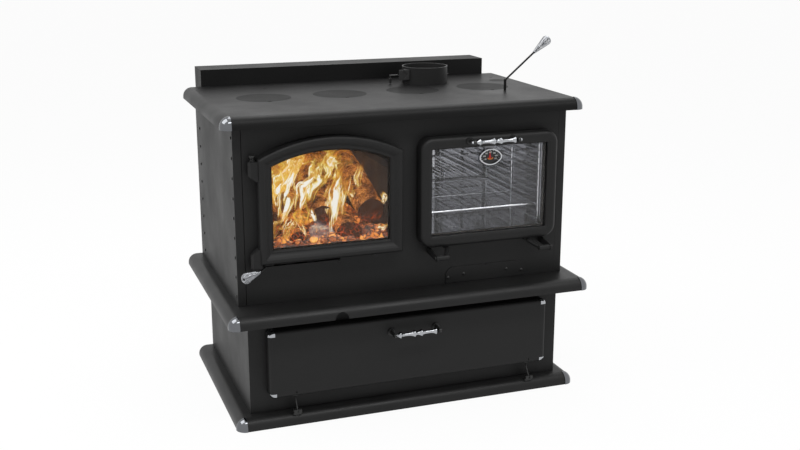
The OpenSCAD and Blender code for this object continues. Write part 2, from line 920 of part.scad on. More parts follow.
// wire radius, distance of the guides' wires from the wall, and how far the rack's
// rails lie inside the guides
rail_wire = 2.5;
guide_in = 8;
rack_gap = 3;

rack_pitch = (ov_h - guide_low - guide_high) / (rack_levels - 1);

function level(i) = ov_z0 + guide_low + rack_pitch * i;

// height of the rack: its rails lie on the guides' wires, a seat's gap above them
rack_z = level(rack_on) + sqrt(pow(2 * rail_wire + seat, 2) - pow(rack_gap, 2));

// wire guides on both oven walls
module oven_guides() {
    color("#a8a8ac")
        for (s = [-1, 1]) {
            for (i = [0:rack_levels - 1])
                bar(at(oven_x + s * (ov_w / 2 - guide_in), ov_d0 + 8, level(i)),
                    at(oven_x + s * (ov_w / 2 - guide_in), body_depth - panel - 14, level(i)),
                    rail_wire);
            for (d = [ov_d0 + 12, ov_d0 + oven_depth / 2, body_depth - panel - 18])
                bar(at(oven_x + s * (ov_w / 2 - 3.4), d, ov_z0 + seat),
                    at(oven_x + s * (ov_w / 2 - 3.4), d, level(rack_levels - 1) + 8), 3);
        }
}

// wire rack lying on one level of the guides
module oven_rack() {
    hw = ov_w / 2 - guide_in - rack_gap;
    z = rack_z;
    d0 = ov_d0 + 20;
    d1 = body_depth - panel - 24;
    color("#c4c4c8") {
        for (s = [-1, 1])
            translate([oven_x + s * hw, rear - d0, z])
                rotate([90, 0, 0]) cylinder(h = d1 - d0, r = rail_wire, $fn = 32);
        for (b = [[d1, 0, 3.8], [d0, 0, 3], [(d0 + d1) / 2, -1.6, 2]])
            translate([oven_x - hw, rear - b[0], z + b[1]])
                rotate([0, 90, 0]) cylinder(h = 2 * hw, r = b[2], $fn = 32);
        for (i = [1:rack_wires])
            translate([oven_x - hw + 2 * hw * i / (rack_wires + 1), rear - d0, z + 0.4])
                rotate([90, 0, 0]) cylinder(h = d1 - d0, r = 1.6, $fn = 32);
    }
}

// plate over the soot clean-out, with rounded upper corners and a lift notch
module soot_cover() {
    color("#232323")
        front(oven_x + 4, body_depth, shelf_height + 1)
            difference() {
                linear_extrude(height = sheet)
                    difference() {
                        intersection() {
                            translate([-soot_width / 2, 0]) square([soot_width, soot_height]);
                            translate([0, -soot_corner])
                                rounded(soot_width, soot_height + soot_corner, soot_corner);
                        }
                        translate([0, soot_height]) circle(r = 5);
                    }
                for (p = soot_screws)
                    translate([p[0], p[1], -1])
                        cylinder(h = 10, r = 2.2 + seat, $fn = 24);
            }
}

// ---------- hinges on the body ----------

// lug outline heights: [outer low, inner low, outer high, inner high]
lug_up = [fire_door_bottom + 262, fire_door_bottom + 246,
    fire_door_bottom + 303, fire_door_bottom + 303];
lug_low = [fire_door_bottom - 9, fire_door_bottom - 9,
    fire_door_bottom + 29, fire_door_bottom + 47];
ear_plate = 4;
ear_up = lug_up[2] + seat;
ear_low = lug_low[0] - seat - ear_plate;

// fixed ears: one over the upper lug and one under the lower lug
module fire_hinge_ears() {
    color("#262626")
        for (z = [ear_up, ear_low])
            difference() {
                union() {
                    translate([pin_x, rear - pin_d, z])
                        cylinder(h = ear_plate, r = fire_pin + 4);
                    translate([pin_x - 6, rear - pin_d, z])
                        cube([12, pin_d - body_depth, ear_plate]);
                }
                translate([pin_x, rear - pin_d, z - 1]) cylinder(h = 14, r = fire_pin + run);
            }
}

// hinge pins: the upper one has a tapered head
module fire_hinge_pins() {
    color("#303030")
        translate([pin_x, rear - pin_d, 0]) {
            translate([0, 0, lug_up[0] + 3.5])
                cylinder(h = ear_up + ear_plate - lug_up[0] - 3, r = fire_pin);
            translate([0, 0, ear_up + ear_plate]) {
                cylinder(h = 2, r = fire_pin + 1.5);
                translate([0, 0, 2 - eps]) cylinder(h = 8, r1 = fire_pin + 1, r2 = 9.5);
                translate([0, 0, 10 - 2 * eps]) cylinder(h = 3, r = 9.5);
                translate([0, 0, 13 - 3 * eps]) cylinder(h = 1.2, r1 = 9.5, r2 = 8);
            }
            translate([0, 0, ear_low - 0.5]) cylinder(h = ear_plate + seat + 30, r = fire_pin);
            translate([0, 0, ear_low - 2]) cylinder(h = 2, r = fire_pin + 2);
        }
}

// thickness of an oven hinge bracket, and its place beyond the arm's bend
bracket = 5;
bracket_in = 28;

// outside brackets that hold the oven hinge's axle
module oven_hinge_brackets() {
    color("#262626")
        for (s = [0, 1])
            translate([oven_x, 0, 0])
                mirror([s, 0, 0])
                    translate([oven_arm_x + bracket_in, 0, 0])
                        difference() {
                            rotate([90, 0, 90])
                                linear_extrude(height = bracket)
                                    union() {
                                        polygon([[rear - body_depth, oven_axis_z - 2],
                                            [rear - body_depth, oven_axis_z + 18],
                                            [rear - body_depth - 12, oven_axis_z + 18],
                                            [rear - oven_axis_d, oven_axis_z + 9.3],
                                            [rear - oven_axis_d, oven_axis_z - 9.3]]);
                                        translate([rear - oven_axis_d, oven_axis_z])
                                            circle(r = 9.5);
                                    }
                            translate([-1, rear - oven_axis_d, oven_axis_z])
                                rotate([0, 90, 0]) cylinder(h = 20, r = 4.5 + run);
                        }
}

// split blocks on the base plate's rolled edge that hold the storage door's rods
module storage_hinge_blocks() {
    gap = store_rod + 1;
    color("#303030")
        for (s = [-1, 1])
            translate([store_hinge_mid + s * store_hinge_x, rear - store_axis_d, 0])
                difference() {
                    union() {
                        for (k = [0, 1])
                            mirror([k, 0, 0])
                                translate([gap, -5.5, store_axis_z - 7])
                                    cube([12 - gap, 12.5, 11.5]);
                        translate([-12, 2, base_height - edge_radius / 2])
                            cube([24, 10, store_axis_z - base_height + edge_radius / 2 - 5]);
                    }
                    translate([-30, store_axis_d - base_depth + edge_radius,
                        base_height - edge_radius])
                        rotate([0, 90, 0]) cylinder(h = 60, r = edge_radius + seat, $fn = 96);
                    translate([-30, 0, store_axis_z])
                        rotate([0, 90, 0]) cylinder(h = 60, r = 2.5 + run);
                }
}

// ---------- firebox door ----------

// seal groove in the back of the door's frame: its distance from the outer edge,
// its width and depth; and how far the glass lies over the frame
groove_in = 13;
groove_width = 10;
groove_depth = 7;
rebate = 9;

// section of the cast frame: x inward from the outer edge, y forward
module fire_section() {
    f = fire_frame;
    k = door_depth;
    polygon([[0, seat], [0, k - 9], [2, k - 4], [6, k - 0.8], [10, k], [15, k - 0.6],
        [21, k - 4], [27, k - 8.5], [31, k - 10.5], [f - 5, k - 10], [f - 4, k - 10],
        [f, k - 14.5], [f, seat]]);
}

// the frame with its seal groove and glass rebate cut from behind
module fire_door_frame() {
    color("#242424")
        difference() {
            fire_moulding();
            front(fire_x, body_depth, fire_door_bottom) {
                linear_extrude(height = groove_depth)
                    difference() {
                        arch(groove_in);
                        arch(groove_in + groove_width);
                    }
                linear_extrude(height = glass_back + glass + seat)
                    arch(fire_frame - rebate);
            }
        }
    color("#242424")
        fire_lug(lug_up, 3);
    color("#242424")
        fire_lug(lug_low, -60);
    // half-round finger pull under the free corner
    color("#242424")
        intersection() {
            front(fire_x + 130, body_depth + 4, fire_door_bottom + 1)
                cylinder(h = 30, r = 10);
            translate([fire_x + 100, rear - body_depth - 60, 0])
                cube([60, 60, fire_door_bottom + 2]);
        }
}

// mitred moulding: three straight rails and an arched head
module fire_moulding() {
    w = fire_door_width;
    f = fire_frame;
    ci = sqrt(pow(arch_r - f, 2) - pow(w / 2 - f, 2)) + arch_c;
    mx = 60 / f;
    // the mitre line through the outer and inner corner, carried on to the middle
    ux = w / 2 - mx * f;
    uy = fire_door_side + mx * (ci - fire_door_side);
    front(fire_x, body_depth, fire_door_bottom) {
        for (s = [0, 1])
            mirror([s, 0, 0])
                intersection() {
                    translate([-w / 2, fire_door_side + 30, 0])
                        rotate([90, 0, 0])
                            linear_extrude(height = fire_door_side + 30)
                                fire_section();
                    linear_extrude(height = 100)
                        polygon([[-w / 2, 0], [-w / 2, fire_door_side], [-ux, uy],
                            [-w / 2 + 60, 60]]);
                }
        intersection() {
            translate([-w / 2, 0, 0])
                rotate([90, 0, 90])
                    linear_extrude(height = w)
                        fire_section();
            linear_extrude(height = 100)
                polygon([[-w / 2, 0], [-w / 2 + 60, 60], [w / 2 - 60, 60], [w / 2, 0]]);
        }
        intersection() {
            translate([0, arch_c, 0])
                rotate([0, 0, 45])
                    rotate_extrude(angle = 90, $fn = 180)
                        translate([arch_r, 0])
                            mirror([1, 0])
                                fire_section();
            linear_extrude(height = 100)
                polygon([[-w / 2, fire_door_side], [-ux, uy], [ux, uy],
                    [w / 2, fire_door_side], [w / 2, fire_door_side + 200],
                    [-w / 2, fire_door_side + 200]]);
        }
    }
}

// hinge lug with one slanted end and a blind hole for its pin, whose bottom is at the
// given height above the lug's outer lower end
module fire_lug(h, from) {
    difference() {
        intersection() {
            translate([pin_x, rear - pin_d, h[1] - 10])
                linear_extrude(height = h[3] - h[1] + 20)
                    union() {
                        circle(r = 14);
                        polygon([[-14, 0], [-14, -6], [-7, -14], [16, -14], [16, 14], [0, 14]]);
                    }
            front(pin_x, pin_d + 50, 0)
                translate([0, 0, -100])
                    linear_extrude(height = 200)
                        polygon([[-20, h[0]], [-14, h[0]], [8, h[1]], [20, h[1]],
                            [20, h[3]], [8, h[3]], [-14, h[2]], [-20, h[2]]]);
        }
        translate([pin_x, rear - pin_d, h[0] + from])
            cylinder(h = from < 0 ? 90 : 60, r = fire_pin + run);
    }
}

module fire_door_glass() {
    color([0.75, 0.72, 0.68, 0.35])
        front(fire_x, body_depth + glass_back, fire_door_bottom)
            linear_extrude(height = glass)
                arch(fire_frame - 8);
}

// rope seal in the groove round the back of the frame
module fire_door_gasket() {
    color("#8a8378")
        front(fire_x, body_depth, fire_door_bottom)
            translate([0, 0, 1])
                linear_extrude(height = groove_depth - 1 - seat)
                    difference() {
                        arch(groove_in + 2 * seat);
                        arch(groove_in + groove_width - 2 * seat);
                    }
}

// pressed ring that clamps the glass from behind
module fire_door_retainer() {
    color("#1e1e1e")
        front(fire_x, body_depth, fire_door_bottom)
            translate([0, 0, glass_back - 3 - seat])
                linear_extrude(height = 3)
                    difference() {
                        arch(fire_frame - 8.5);
                        arch(fire_frame + 3);
                    }
}

// ---------- oven door ----------

// section of the oven door's frame: a full round outer edge
module oven_section() {
    f = oven_frame;
    k = door_depth;
    difference() {
        union() {
            translate([0, seat]) square([f, k - 18]);
            translate([18, seat]) square([f - 18, k - 4 - seat]);
            translate([15, k - 15]) circle(r = 15);
            translate([15, seat]) square([10, k - seat]);
            translate([25, k - 4 - eps])
                polygon([[-1, 0], [-1, 4 + eps], [2, 4], [9, 1.5], [f - 25, 0]]);
        }
        translate([f - 9, -1]) square([20, glass_back + glass + seat + 1]);
    }
}

module oven_door_frame() {
    color("#242424")
        front(oven_x, body_depth, oven_door_bottom)
            rail_ring(oven_door_width, oven_door_height, oven_corner)
                oven_section();
}

module oven_door_glass() {
    color([0.7, 0.72, 0.74, 0.3])
        front(oven_x, body_depth + glass_back, oven_door_bottom + oven_frame - 8)
            linear_extrude(height = glass)
                rounded(oven_door_width - 2 * oven_frame + 16,
                    oven_door_height - 2 * oven_frame + 16, 12);
}

module oven_door_retainer() {
    color("#2a2a2a")
        front(oven_x, body_depth + glass_back - 3 - seat, oven_door_bottom + oven_frame - 8)
            linear_extrude(height = 3)
                difference() {
                    rounded(oven_door_width - 2 * oven_frame + 16,
                        oven_door_height - 2 * oven_frame + 16, 12);
                    translate([0, 12])
                        rounded(oven_door_width - 2 * oven_frame - 8,
                            oven_door_height - 2 * oven_frame - 8, 4);
                }
}

oven_grip_z = oven_door_bottom + oven_door_height - 14;

module oven_handle_posts() {
    color("#242424")
        front(oven_x, body_depth + door_depth, oven_grip_z)
            posts();
}

module oven_handle_grip() {
    color("#b8babc")
        front(oven_x, body_depth + door_depth + grip_out, oven_grip_z) {
            grip();
            post_balls();
        }
}

// bent round bars: a stub axle through each bracket with a riveted end, then back and
// up to a foot under the door
module oven_hinge_arms() {
    a = oven_arm_x + bracket_in - 0.5;
    b = oven_arm_x;
    color("#2c2c2c")
        for (s = [0, 1])
            translate([oven_x, 0, 0])
                mirror([s, 0, 0]) {
                    translate([b - 8, rear - oven_axis_d, oven_axis_z])
                        rotate([0, 90, 0]) cylinder(h = a - b + 8, r = 7.8);
                    translate([a - 1, rear - oven_axis_d, oven_axis_z])
                        rotate([0, 90, 0]) cylinder(h = bracket + 3, r = 4.5);
                    translate([a + bracket + 1, rear - oven_axis_d, oven_axis_z])
                        rotate([0, 90, 0]) cylinder(h = 5, r = 6);
                    bar([b, rear - oven_axis_d, oven_axis_z],
                        [b - 22, rear - body_depth - 29, oven_door_bottom - 7.4], 6.8);
                    translate([b - 32, rear - body_depth - 27, oven_door_bottom - 7])
                        cube([18, 21, 7 - seat]);
                }
}

thermo_z = oven_door_bottom + oven_door_height - 70;
thermo_d = body_depth + glass_back + glass + 1;

// upright oval, wider than high
module oval(a, b) {
    intersection() {
        translate([0, b - (a * a + b * b) / (2 * b)])
            circle(r = (a * a + b * b) / (2 * b), $fn = 96);
        translate([0, (a * a + b * b) / (2 * b) - b])
            circle(r = (a * a + b * b) / (2 * b), $fn = 96);
        square([2 * a - 5, 3 * b], center = true);
    }
}

// oval case and the strap that hangs it from the frame
module thermometer_case() {
    color("#b8babc")
        front(oven_x, thermo_d, thermo_z) {
            difference() {
                linear_extrude(height = 12)
                    oval(39, 25);
                translate([0, 0, 3])
                    linear_extrude(height = 12)
                        oval(35, 21.5);
            }
            translate([-15, 20, 0]) cube([30, 70 - oven_frame - 20 - seat, 2]);
        }
}

module thermometer_dial() {
    color("#101010")
        front(oven_x, thermo_d + 3.1, thermo_z) {
            linear_extrude(height = 1.5)
                oval(34.6, 21.1);
            cylinder(h = 5, r = 1.2, $fn = 24);
        }
}

// pointer on the dial's pin, its tail balancing its tip
module thermometer_pointer() {
    color("#c02018")
        front(oven_x, thermo_d + 5.2, thermo_z)
            difference() {
                union() {
                    cylinder(h = 1.4, r = 3.4);
                    translate([-0.8, -8, 0]) cube([1.6, 24, 1]);
                    translate([-3, -9, 0]) cube([6, 6, 1]);
                }
                translate([0, 0, -1]) cylinder(h = 5, r = 1.2 + run, $fn = 24);
            }
}

// ---------- storage door ----------

// section of the pan's rim: x inward from the outer edge, y forward
module store_section() {
    k = store_depth;
    r = 11;
    translate([0, seat]) square([3, k - r - seat]);
    translate([r, k - 3]) square([store_corner - 1 - r, 3]);
    translate([r, k - r])
        intersection() {
            difference() {
                circle(r = r);
                circle(r = r - 3);
            }
            translate([-r, 0]) square([r, r]);
        }
}

module storage_door_pan() {
    color("#242424")
        difference() {
            front(0, plinth_depth, store_bottom) {
                rail_ring(store_width, store_height, store_corner)
                    store_section();
                translate([-store_width / 2 + 12, 12, store_depth - 3])
                    cube([store_width - 24, store_height - 24, 3]);
                // inner blocks that carry the hinge rods
                for (s = [-1, 1])
                    translate([store_hinge_mid + s * store_hinge_x - 20, 2, 5])
                        cube([40, 6, 20]);
            }
            // small slots over the hinge rods
            for (s = [-1, 1])
                front(store_hinge_mid + s * store_hinge_x, plinth_depth, store_bottom + 9.5)
                    translate([0, 0, store_depth - 9])
                        linear_extrude(height = 20)
                            rounded(2.6, 7, 1.2);
        }
}

// bright skins over the door's four corners
module storage_door_trims() {
    k = store_depth;
    r = store_corner;
    // how far the skins run on along the straight edges before they are cut off
    run_on = max(trim_width - r, trim_height - r, 0) + 1;
    color("#b8babc")
        front(0, plinth_depth, store_bottom + store_height / 2)
            for (s = [0, 1])
                for (t = [0, 1])
                    mirror([s, 0, 0])
                        mirror([0, t, 0])
                            translate([-store_width / 2, -store_height / 2, 0])
                                intersection() {
                                    translate([r, r, 0]) {
                                        rotate([0, 0, 180])
                                            rotate_extrude(angle = 90)
                                                trim_section(r);
                                        rotate([90, 0, 180])
                                            linear_extrude(height = run_on)
                                                trim_section(r);
                                        rotate([90, 0, 270])
                                            translate([0, 0, -run_on])
                                                linear_extrude(height = run_on)
                                                    trim_section(r);
                                        // middle of the flat skin
                                        translate([-eps, -eps, k + seat])
                                            cube([run_on, run_on, 1.3]);
                                    }
                                    translate([-5, -5, 0])
                                        cube([trim_width + 5, trim_height + 5, k + 10]);
                                }
}

// section of a trim: a thin skin outside the pan's rim, at radius r
module trim_section(r) {
    k = store_depth;
    q = 11;
    c = 1.3;
    difference() {
        union() {
            translate([r - q, k - q])
                intersection() {
                    circle(r = q + seat + c);
                    square([50, 50]);
                }
            translate([0, k + seat]) square([r - q + eps, c]);
            translate([r + seat, 8]) square([c, k - q - 8 + eps]);
        }
        translate([r - q, k - q]) circle(r = q + seat);
    }
}

store_grip_z = store_bottom + store_height - 44;

module storage_handle_posts() {
    color("#242424")
        front(0, plinth_depth + store_depth, store_grip_z)
            posts();
}

module storage_handle_grip() {
    color("#b8babc")
        front(0, plinth_depth + store_depth + grip_out, store_grip_z)
            grip();
}

// slim rods from the door's underside to a cross pin in each split block
module storage_hinge_arms() {
    color("#303030")
        for (s = [-1, 1]) {
            x = store_hinge_mid + s * store_hinge_x;
            bar(at(x, store_axis_d, store_axis_z), at(x, plinth_depth + 14, store_bottom - 4),
                store_rod);
            translate([x - store_rod - 0.4, rear - store_axis_d, store_axis_z])
                rotate([0, 90, 0]) cylinder(h = 2 * store_rod + 0.8, r = 4);
            translate([x - 13, rear - store_axis_d, store_axis_z])
                rotate([0, 90, 0]) cylinder(h = 26, r = 2.5);
            translate([x - 8, rear - plinth_depth - 22, store_bottom - 5])
                cube([16, 14, 5 - seat]);
        }
}

// ---------- bypass lever ----------

lever_bend = cooktop_height + 33;
lever_a = [98, 0, 83];

module bypass_rod() {
    p = [lever_x, rear - lever_back, lever_bend];
    color("#303030") {
        translate([lever_x, rear - lever_back, cook_under - 60])
            cylinder(h = lever_bend - cook_under + 60, r = lever_radius);
        translate(p)
            sphere(r = lever_radius + 0.5);
        bar(p, p + lever_a, handle_rod);
    }
}

module bypass_grip() {
    p = [lever_x, rear - lever_back, lever_bend];
    color("#b8babc")
        translate(p + lever_a)
            rotate([0, acos(lever_a[2] / norm(lever_a)), 0])
                translate([0, 0, seat])
                    teardrop(coil_length, 5, coil_radius);
}

// gate under the cooktop that the lever swings across the smoke path
module bypass_gate() {
    color("#303030")
        translate([lever_x, rear - lever_back, cook_under - 60])
            difference() {
                union() {
                    cylinder(h = 18, r = 11);
                    translate([-140, -22, 2]) cube([140, 44, 4]);
                }
                translate([0, 0, -1]) cylinder(h = 30, r = lever_radius + 0.05);
            }
}

// ---------- air control ----------

air_x = air_left + 5;
air_p = at(air_x - 21, body_depth + 25, air_z - 9.5);
air_q = at(air_x - 63, body_depth + 53, air_z - 12.8);

// stem through the slot, with the shutter behind the panel
module air_slide() {
    v = air_q - air_p;
    color("#303030") {
        translate([air_x, rear - body_depth + panel + 1, air_z])
            rotate([90, 0, 0]) cylinder(h = panel + 12, r = air_stem);
        translate(at(air_x, body_depth + 11, air_z)) sphere(r = handle_rod + 0.3);
        bar(at(air_x, body_depth + 11, air_z), air_p - v / norm(v) * 0.8, handle_rod);
        translate([air_x - 28, rear - body_depth + panel + 0.5, air_z - 9]) cube([56, 3, 16]);
    }
}

module air_grip() {
    v = air_q - air_p;
    color("#b8babc")
        translate(air_p)
            rotate([0, acos(v[2] / norm(v)), atan2(v[1], v[0])])
                translate([0, 0, seat])
                    teardrop(coil_length - 3, 5, coil_radius);
}

module lid_1() {
    lid(0);
}

module lid_2() {
    lid(1);
}

module lid_3() {
    lid(2);
}

module lid_4() {
    lid(3);
}

base_plate();
base_corner_caps();
plinth_panels();
plinth_front();
storage_floor();
shelf_plate();
shelf_corner_caps();
body_sides();
body_back();
front_panel();
screws();
cooktop();
cooktop_corner_caps();
rear_heat_shield();
flue_collar();
damper_bracket();
inspection_plug();
lever_bushing();
firebox_shell();
firebricks();
baffle();
air_tubes();
oven_liner();
oven_guides();
soot_cover();
fire_hinge_ears();
fire_hinge_pins();
oven_hinge_brackets();
storage_hinge_blocks();
fire_door_frame();
fire_door_glass();
fire_door_gasket();
fire_door_retainer();
oven_door_frame();
oven_door_glass();
oven_door_retainer();
oven_handle_posts();
oven_handle_grip();
oven_hinge_arms();
thermometer_case();
thermometer_dial();
thermometer_pointer();
storage_door_pan();
storage_door_trims();
storage_handle_posts();
storage_handle_grip();
storage_hinge_arms();
damper_spindle();
damper_vane();
bypass_rod();
bypass_grip();
bypass_gate();
air_slide();
air_grip();
oven_rack();
lid_1();
lid_2();
lid_3();
lid_4();
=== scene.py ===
"""Looks of the wood cookstove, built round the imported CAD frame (metres, +Z up, -Y front)."""
import math
import random

import bpy
from mathutils import Matrix, Vector, noise


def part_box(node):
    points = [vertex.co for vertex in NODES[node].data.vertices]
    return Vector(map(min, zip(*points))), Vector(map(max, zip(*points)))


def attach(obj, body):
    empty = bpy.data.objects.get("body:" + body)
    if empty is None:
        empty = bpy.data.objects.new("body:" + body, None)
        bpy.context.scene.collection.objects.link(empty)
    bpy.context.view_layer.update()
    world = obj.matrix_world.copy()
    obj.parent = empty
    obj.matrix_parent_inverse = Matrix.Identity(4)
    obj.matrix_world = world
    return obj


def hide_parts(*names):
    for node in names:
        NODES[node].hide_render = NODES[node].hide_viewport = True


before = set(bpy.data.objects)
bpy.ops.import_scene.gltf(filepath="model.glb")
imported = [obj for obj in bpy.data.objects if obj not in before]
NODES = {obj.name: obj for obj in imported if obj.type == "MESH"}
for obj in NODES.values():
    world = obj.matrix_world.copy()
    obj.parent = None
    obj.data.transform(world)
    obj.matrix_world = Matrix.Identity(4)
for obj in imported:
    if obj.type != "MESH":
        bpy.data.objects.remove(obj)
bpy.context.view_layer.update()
scene = bpy.context.scene

WHITE = (1, 1, 1, 1)
BLACK = (0, 0, 0, 1)


# ---------- node helpers ----------

def feed(t, node, inputs):
    """Link the inputs of a node to sockets, or set them to values."""
    for key, v in inputs.items():
        if isinstance(v, bpy.types.NodeSocket):
            t.links.new(v, node.inputs[key])
        else:
            node.inputs[key].default_value = v


def add(t, kind, inputs=None, **props):
    """New shader node with its properties set and its inputs fed."""
    node = t.nodes.new("ShaderNode" + kind)
    for key, v in props.items():
        setattr(node, key, v)
    feed(t, node, inputs or {})
    return node


def blank(name):
    """New material with an empty node tree."""
    m = bpy.data.materials.new(name)
    m.use_nodes = True
    m.node_tree.nodes.clear()
    return m, m.node_tree


def start(name, inputs=None):
    """New material with one Principled shader."""
    m, t = blank(name)
    b = add(t, "BsdfPrincipled", inputs)
    add(t, "OutputMaterial", {0: b.outputs[0]})
    return m, t, b


def coords(t, kind="Object"):
    """Texture coordinates of one kind."""
    return add(t, "TexCoord").outputs[kind]


def stretch(t, vec, scale):
    """Vector scaled along its axes."""
    return add(t, "Mapping", {0: vec, 3: scale}).outputs[0]


def axis(t, vec, i):
    """One of the three parts of a vector."""
    return add(t, "SeparateXYZ", {0: vec}).outputs[i]


def calc(t, op, a, b=0.0):
    """Result of a maths node."""
    return add(t, "Math", {0: a, 1: b}, operation=op).outputs[0]


def plus(t, a, b):
    return calc(t, "ADD", a, b)


def times(t, a, b):
    return calc(t, "MULTIPLY", a, b)


def far(t, a, b):
    """Distance between two values."""
    return calc(t, "ABSOLUTE", calc(t, "SUBTRACT", a, b))


def span(t, v, a, b, c, d):
    """Straight change from c to d while v goes from a to b."""
    return add(t, "MapRange", {0: v, 1: a, 2: b, 3: c, 4: d}).outputs[0]


def step(t, v, a, b, c=0.0, d=1.0):
    """Smooth change from c to d while v goes from a to b."""
    return add(t, "MapRange", {0: v, 1: a, 2: b, 3: c, 4: d}, interpolation_type="SMOOTHSTEP").outputs[0]


def noise_fac(t, vec, scale, detail, rough=0.55, distort=0.0):
    """Noise about 0.5 over a vector."""
    return add(t, "TexNoise", {"Vector": vec, "Scale": scale, "Detail": detail, "Roughness": rough,
                               "Distortion": distort}).outputs[0]


def ramp(t, fac, stops):
    """Colour over a value, from (position, colour) stops."""
    n = add(t, "ValToRGB", {0: fac})
    while len(n.color_ramp.elements) < len(stops):
        n.color_ramp.elements.new(0.5)
    for e, (p, c) in zip(n.color_ramp.elements, stops):
        e.position = p
        e.color = (*c, 1)
    return n.outputs[0]


def blend(t, fac, a, b, how="MIX"):
    """Colour b over colour a."""
    return add(t, "Mix", {0: fac, 6: a, 7: b}, data_type="RGBA", blend_type=how).outputs[2]


def bump(t, shader, strength, distance, height, normal=None):
    """Bump on a shader, over the normal of another node if there is one."""
    node = add(t, "Bump", {"Strength": strength, "Distance": distance, "Height": height})
    if normal is not None:
        t.links.new(normal, node.inputs["Normal"])
    t.links.new(node.outputs[0], shader.inputs["Normal"])


def grey(v):
    """Neutral colour."""
    return (v, v, v)


def toned(base, dark, low=0.3, high=0.7):
    """Ramp stops from a darker tone of a colour to the colour itself."""
    return [(low, tuple(c * dark for c in base)), (high, base)]


# ---------- materials ----------

def paint(name, dark, light, spec, rough=0.5, grain=0.1, edge=0.0012):
    """Matte stove paint: fine sprayed grain, soft mottling, edges that catch a little light."""
    m, t, b = start(name, {"Specular IOR Level": spec})
    co = coords(t)
    fine = noise_fac(t, co, 900, 2)
    soft = noise_fac(t, co, 6, 4)
    mottle = plus(t, times(t, fine, 0.55), times(t, soft, 0.45))
    feed(t, b, {"Base Color": ramp(t, mottle, [(0.3, dark), (0.7, light)]),
                "Roughness": span(t, soft, 0.3, 0.7, rough - 0.05, rough + 0.08)})
    bump(t, b, grain, 0.0004, fine, add(t, "Bevel", {"Radius": edge}, samples=3).outputs[0])
    return m


def nickel(name, base, rough):
    """Bright nickel plate with faint wiping marks."""
    m, t, b = start(name, {"Metallic": 1.0})
    co = coords(t)
    soft = noise_fac(t, co, 40, 3)
    wiped = noise_fac(t, stretch(t, co, (60, 900, 400)), 1, 2)
    feed(t, b, {"Base Color": ramp(t, soft, toned(base, 0.93)),
                "Roughness": span(t, soft, 0.3, 0.75, rough - 0.04, rough + 0.06)})
    bump(t, b, 0.03, 0.0002, wiped)
    return m


def strap_and_ring(name, split):
    """Nickel ring with a duller strap above the height split, in metres."""
    m = nickel(name, (0.50, 0.51, 0.53), 0.10)
    t = m.node_tree
    b = next(n for n in t.nodes if n.type == "BSDF_PRINCIPLED")
    ring = b.inputs["Base Color"].links[0].from_socket
    above = calc(t, "GREATER_THAN", axis(t, coords(t), 2), split)
    feed(t, b, {"Base Color": blend(t, above, ring, (0.15, 0.15, 0.16, 1))})
    return m


def rolled_steel(name, base, rough):
    """Rolled stainless with long faint rolling lines."""
    m, t, b = start(name, {"Metallic": 1.0})
    co = coords(t)
    lines = noise_fac(t, stretch(t, co, (4, 400, 400)), 1, 3)
    soft = noise_fac(t, co, 9, 3)
    feed(t, b, {"Base Color": ramp(t, lines, toned(base, 0.88, 0.2, 0.8)),
                "Roughness": span(t, soft, 0.3, 0.7, rough - 0.03, rough + 0.04)})
    bump(t, b, 0.02, 0.0003, lines)
    return m


def mirror_steel(name, base):
    """Polished stainless: a mirror with faint cloudy wiping in its tone."""
    m, t, b = start(name, {"Metallic": 1.0, "Roughness": 0.0})
    feed(t, b, {"Base Color": ramp(t, noise_fac(t, coords(t), 7, 3), toned(base, 0.90))})
    return m


def clear_glass(name, tone, haze):
    """Thin ceramic glass: a low index keeps the room out of it, a little haze lies on it like dust."""
    m, t, b = start(name, {"Transmission Weight": 1.0 - haze, "IOR": 1.10, "Base Color": (*tone, 1)})
    smear = noise_fac(t, coords(t), 12, 4)
    feed(t, b, {"Roughness": span(t, smear, 0.45, 0.8, 0.0, 0.02)})
    return m


def firelit(t, fac, colour, light):
    """What a surface gives back of the light of the flames."""
    return blend(t, 1.0, blend(t, fac, BLACK, colour), light, "MULTIPLY")


def brickwork(name):
    """Firebrick: pitted, with painted shade darkening the wall at the right, and painted light from the
    flames round the middle of the fire.
    """
    shade_start, shade_full = -0.13, -0.05       # x where the painted shade on the right wall starts and where it is full
    fire_middle = (-0.26, 0.02, 0.63)
    lit_full, lit_least = 0.06, 0.40        # distances from the middle of the fire
    m, t, b = start(name, {"Roughness": 0.93, "Specular IOR Level": 0.2})
    co = coords(t)
    big = noise_fac(t, co, 18, 5, 0.65)
    fine = noise_fac(t, co, 260, 4, 0.7)
    pits = add(t, "TexVoronoi", {"Vector": co, "Scale": 210}).outputs[0]
    clay = ramp(t, big, [(0.25, (0.05, 0.035, 0.022)), (0.5, (0.24, 0.15, 0.075)),
                         (0.75, (0.46, 0.33, 0.19))])
    # Painted shade: the brick colour goes to near black towards the wall at the right, standing in for the
    # shade there
    wall_shade = step(t, axis(t, co, 0), shade_start, shade_full, 0.0, 0.86)
    colour = blend(t, wall_shade, clay, (0.012, 0.008, 0.006, 1))
    away = add(t, "VectorMath", {0: co, 1: fire_middle}, operation="DISTANCE").outputs[1]
    lit = firelit(t, step(t, away, lit_full, lit_least, 1.0, 0.04), colour, (1.0, 0.56, 0.20, 1))
    feed(t, b, {"Base Color": colour, "Emission Color": lit, "Emission Strength": 1.0})
    bump(t, b, 0.6, 0.0015, plus(t, fine, times(t, pits, 0.5)))
    return m


